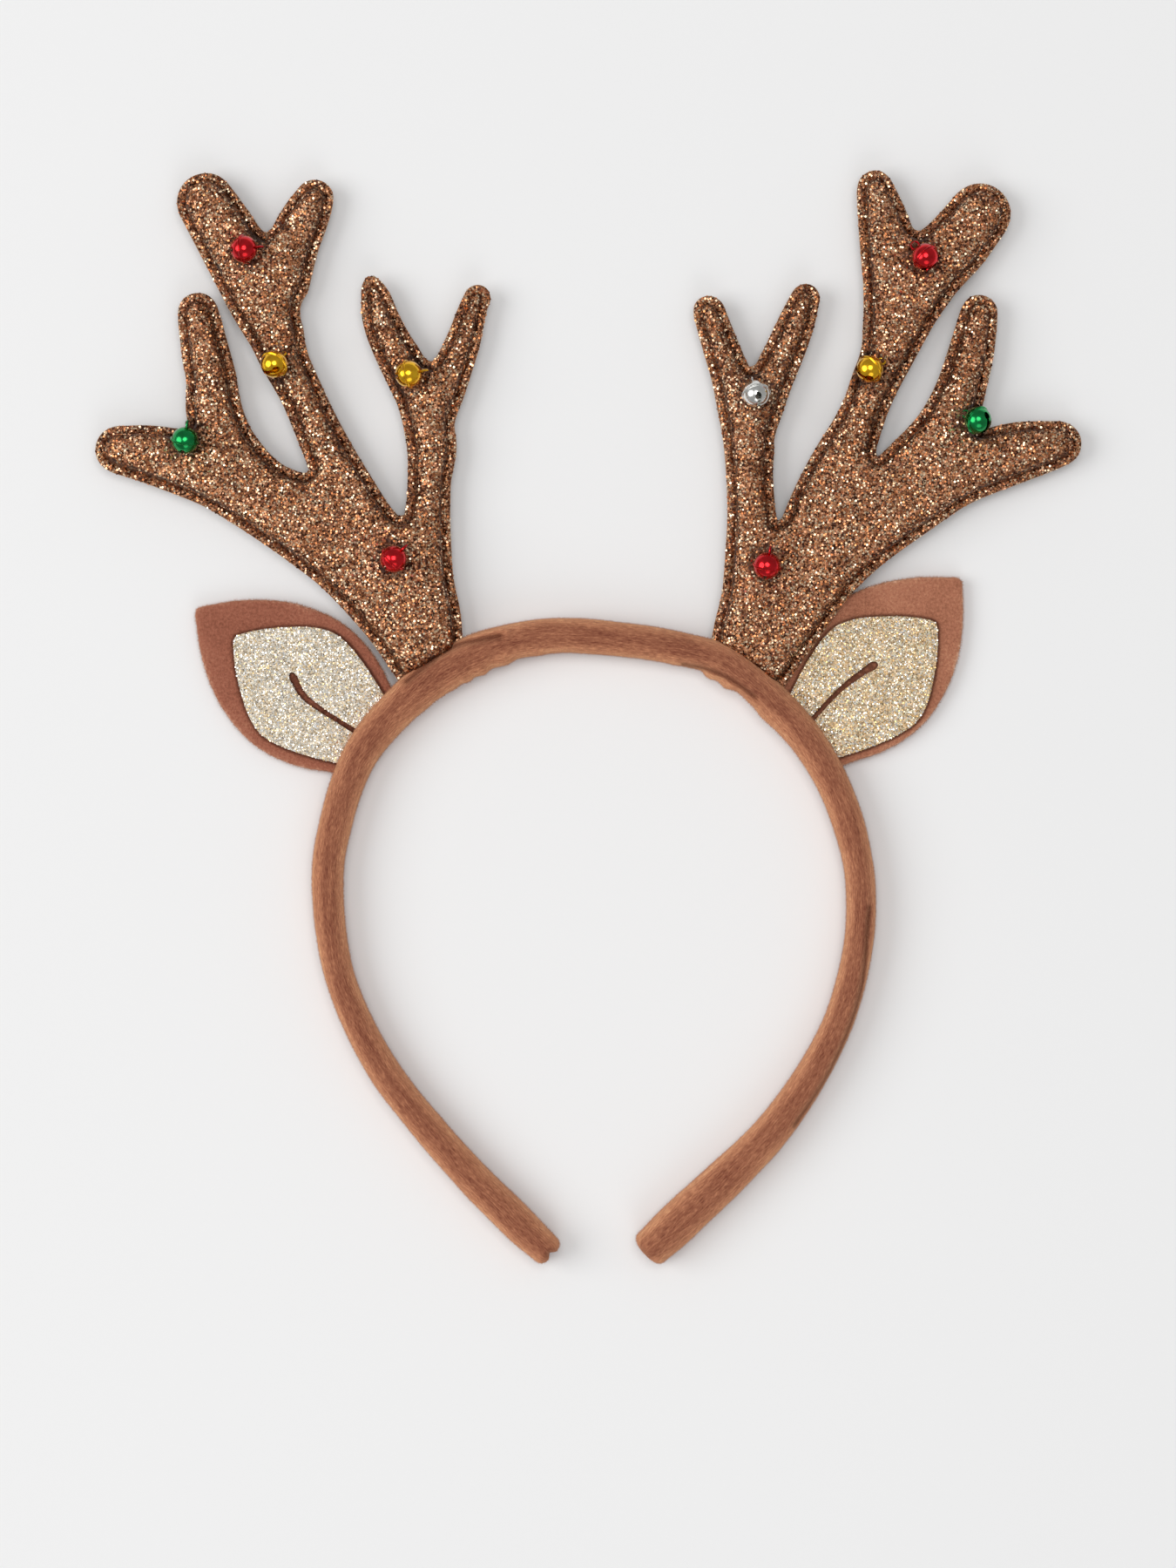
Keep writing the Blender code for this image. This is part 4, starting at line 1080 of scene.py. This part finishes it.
def bellSlot():
    # The tool that cuts the keyhole slot through the lower half.
    width, hole, out = bell["slotWidth"], bell["holeRadius"], bell["holeOut"]
    neck = out - 0.9 * hole
    outline = [(neck, -width / 2)]
    for angle in np.radians(range(-140, 141, 20)):
        outline.append((out + hole * math.cos(angle), hole * math.sin(angle)))
    outline.append((neck, width / 2))
    outline += [(-x, -y) for x, y in outline]
    bm = bmesh.new()
    bottom = bm.faces.new([bm.verts.new((x, y, -2 * bell["radius"])) for x, y in outline])
    raised = bmesh.ops.extrude_face_region(bm, geom=[bottom])["geom"]
    raised = [item for item in raised if isinstance(item, bmesh.types.BMVert)]
    bmesh.ops.translate(bm, vec=(0, 0, 1.6 * bell["radius"]), verts=raised)
    return meshObject("bellSlot", bm)


def bellLoop(steps=28, sides=10):
    bm = bmesh.new()
    middle = Vector((0, 0, bell["radius"] + bell["loopOut"]))
    rings = []
    for turn in np.arange(steps) * 2 * math.pi / steps:
        outward = Vector((math.cos(turn), 0, math.sin(turn)))
        ring = []
        for a in np.arange(sides) * 2 * math.pi / sides:
            wire = (outward * math.cos(a) + Vector((0, math.sin(a), 0))) * bell["loopWire"]
            ring.append(bm.verts.new(middle + outward * bell["loopRadius"] + wire))
        rings.append(ring)
    for near, far in zip(rings, rings[1:] + rings[:1]):
        for i in range(sides):
            j = (i + 1) % sides
            bm.faces.new((near[i], near[j], far[j], far[i]))
    return meshObject("bellLoop", bm)


def makeBellMesh():
    radius, half = bell["radius"], bell["rimHalf"]
    edge = math.degrees(math.asin(half / radius))
    upper = [(0, radius)] + ballArc(radius, 90, edge + 1.5, 14)[1:]
    out = radius + bell["rimOut"]
    rim = [(out - 0.08, half), (out, half * 0.6), (out, 0.06), (out - 0.07, 0.0)]
    lower = [(r, -z) for r, z in reversed(upper + rim[:-1])]
    body = meshObject("bellBody", spunSolid(upper + rim + lower, bell["sides"]))
    inside = radius - bell["wall"]
    ball = [(0, inside)] + ballArc(inside, 90, -90, 20)[1:-1] + [(0, -inside)]
    tools = (meshObject("bellHollow", spunSolid(ball, 32)), bellSlot(), bellLoop())
    for tool, operation in zip(tools, ("DIFFERENCE", "DIFFERENCE", "UNION")):
        modifier = body.modifiers.new(tool.name, "BOOLEAN")
        modifier.operation = operation
        modifier.object = tool
    mesh = bakedMesh(body)
    for item in (body, *tools):
        bpy.data.objects.remove(item)
    mesh.transform(Matrix.Scale(mm, 4))
    return mesh


def makeThread(points, radius, name):
    # A tube of thread through the points.
    curve = bpy.data.curves.new(name, "CURVE")
    curve.dimensions = "3D"
    curve.bevel_depth = radius * mm
    curve.bevel_resolution = 1
    curve.use_fill_caps = True
    for row in points:
        spline = curve.splines.new("POLY")
        spline.points.add(len(row) - 1)
        for point, place in zip(spline.points, row):
            point.co = (*(np.array(place) * mm), 1)
    holder = addObject(name, curve)
    mesh = bakedMesh(holder)
    bpy.data.objects.remove(holder)
    mesh.materials.clear()
    mesh.materials.append(seamThread)
    return addObject(name, mesh)


def bellThread(way, hole, side):
    # Bights of thread over the loop's wire, each with both ends in the antler's fabric.
    skinAt, rimTop = antlerTops[side]
    ground = rimTop + float(skinAt(np.array([hole[:2]]))[0])
    forward = np.array((way.x, way.y, 0)) / max(1e-6, math.hypot(way.x, way.y))
    aside = np.array((-forward[1], forward[0], 0))
    reach = bell["threadReach"]
    rise = max(reach, hole[2] - ground + reach)
    bights = []
    for shift in bell["threadPlaces"]:
        foot = np.array((hole[0], hole[1], ground - bell["threadIn"])) + aside * shift
        bights.append([foot + forward * reach * math.cos(a) + np.array((0, 0, rise * math.sin(a)))
                       for a in np.radians(np.linspace(0, 180, 9))])
    return bights


bellShape = makeBellMesh()
for node, (heading, lift, turn, colour) in bell["turns"].items():
    aim = Matrix.Rotation(math.radians(heading), 4, "Z") @ Matrix.Rotation(math.radians(90 - lift), 4, "Y")
    rotation = aim @ Matrix.Rotation(math.radians(turn), 4, "Z")
    mesh = bellShape.copy()
    mesh.transform(rotation)
    spots = np.array([v.co[:] for v in mesh.vertices])
    low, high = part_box(node)
    centre = (np.array(low) + np.array(high)) / 2 - (spots.min(0) + spots.max(0)) / 2
    mesh.transform(Matrix.Translation(centre))
    mesh.materials.clear()
    mesh.materials.append(bellMetals[colour])
    mesh.shade_smooth()
    mesh.set_sharp_from_angle(angle=math.radians(34))
    kind, side, number = node.split("_")
    name = kind + side.title() + number
    finished(addObject(name, mesh), f"bell_{colour}", node)

    way = rotation @ Vector((0, 0, 1))
    hole = centre / mm + np.array(way) * (bell["radius"] + bell["loopOut"] + bell["threadOut"])
    thread = makeThread(bellThread(way, hole, side), bell["threadRadius"], name + "Thread")
    finished(thread, "glitter_fabric")
print("bells made")


# Table, light and camera

studio = {
    "tableHalf": 3.0,  # in metres
    "tableDrop": 0.0001,
    "middle": (0.0, -16.94),  # the view's middle, in millimetres
    "viewHeight": 396.0,
    "distance": 1.3,  # in metres, from the camera to the headband's middle height
    "middleHeight": 0.005,
    "sensor": 36.0,
    "world": 0.37,
    "lamps": (  # name, place in metres, size, watts
        ("leftSoftbox", (-2.3, 0.1, 2.0), 2.4, 41.5),
        ("overheadSoftbox", (0.1, 0.4, 3.0), 1.8, 28.0),
        ("lowFill", (0.4, -2.3, 1.7), 1.8, 9.0)),
}

board, boardTree, boardShader = newMaterial("paleStudioBoard", {
    "Roughness": 0.85, "Specular IOR Level": 0.2})
mottle = cloudy(boardTree, objectPlace(boardTree), 3.0, 1.0)
feed(boardShader, {"Base Color": ramp(boardTree, mottle, ((0.0, "#F1F1F1"), (1.0, "#F3F3F3")))})
edge = studio["tableHalf"]
tableMesh = bpy.data.meshes.new("table")
corners = [(x * edge, y * edge, 0) for x, y in ((-1, -1), (1, -1), (1, 1), (-1, 1))]
tableMesh.from_pydata(corners, [], [(0, 1, 2, 3)])
tableMesh.materials.append(board)
table = addObject("table", tableMesh)
table.location.z = -studio["tableDrop"]

world = bpy.data.worlds.new("studio")
world.use_nodes = True
feed(world.node_tree.nodes["Background"], {0: (1, 1, 1, 1), 1: studio["world"]})
bpy.context.scene.world = world
for name, place, size, watts in studio["lamps"]:
    lamp = bpy.data.lights.new(name, "AREA")
    lamp.shape = "DISK"
    lamp.size = size
    lamp.energy = watts
    holder = addObject(name, lamp)
    holder.location = place
    holder.rotation_euler = Vector(place).to_track_quat("Z", "Y").to_euler()

lens = bpy.data.cameras.new("overhead")
lens.sensor_fit = "VERTICAL"
lens.sensor_height = studio["sensor"]
lens.lens = studio["sensor"] * studio["distance"] / (studio["viewHeight"] * mm)
camera = addObject("overhead", lens)
x, y = studio["middle"]
camera.location = (x * mm, y * mm, studio["distance"] + studio["middleHeight"])
bpy.context.scene.camera = camera
bpy.context.scene.view_settings.view_transform = "Standard"

print("scene finished")
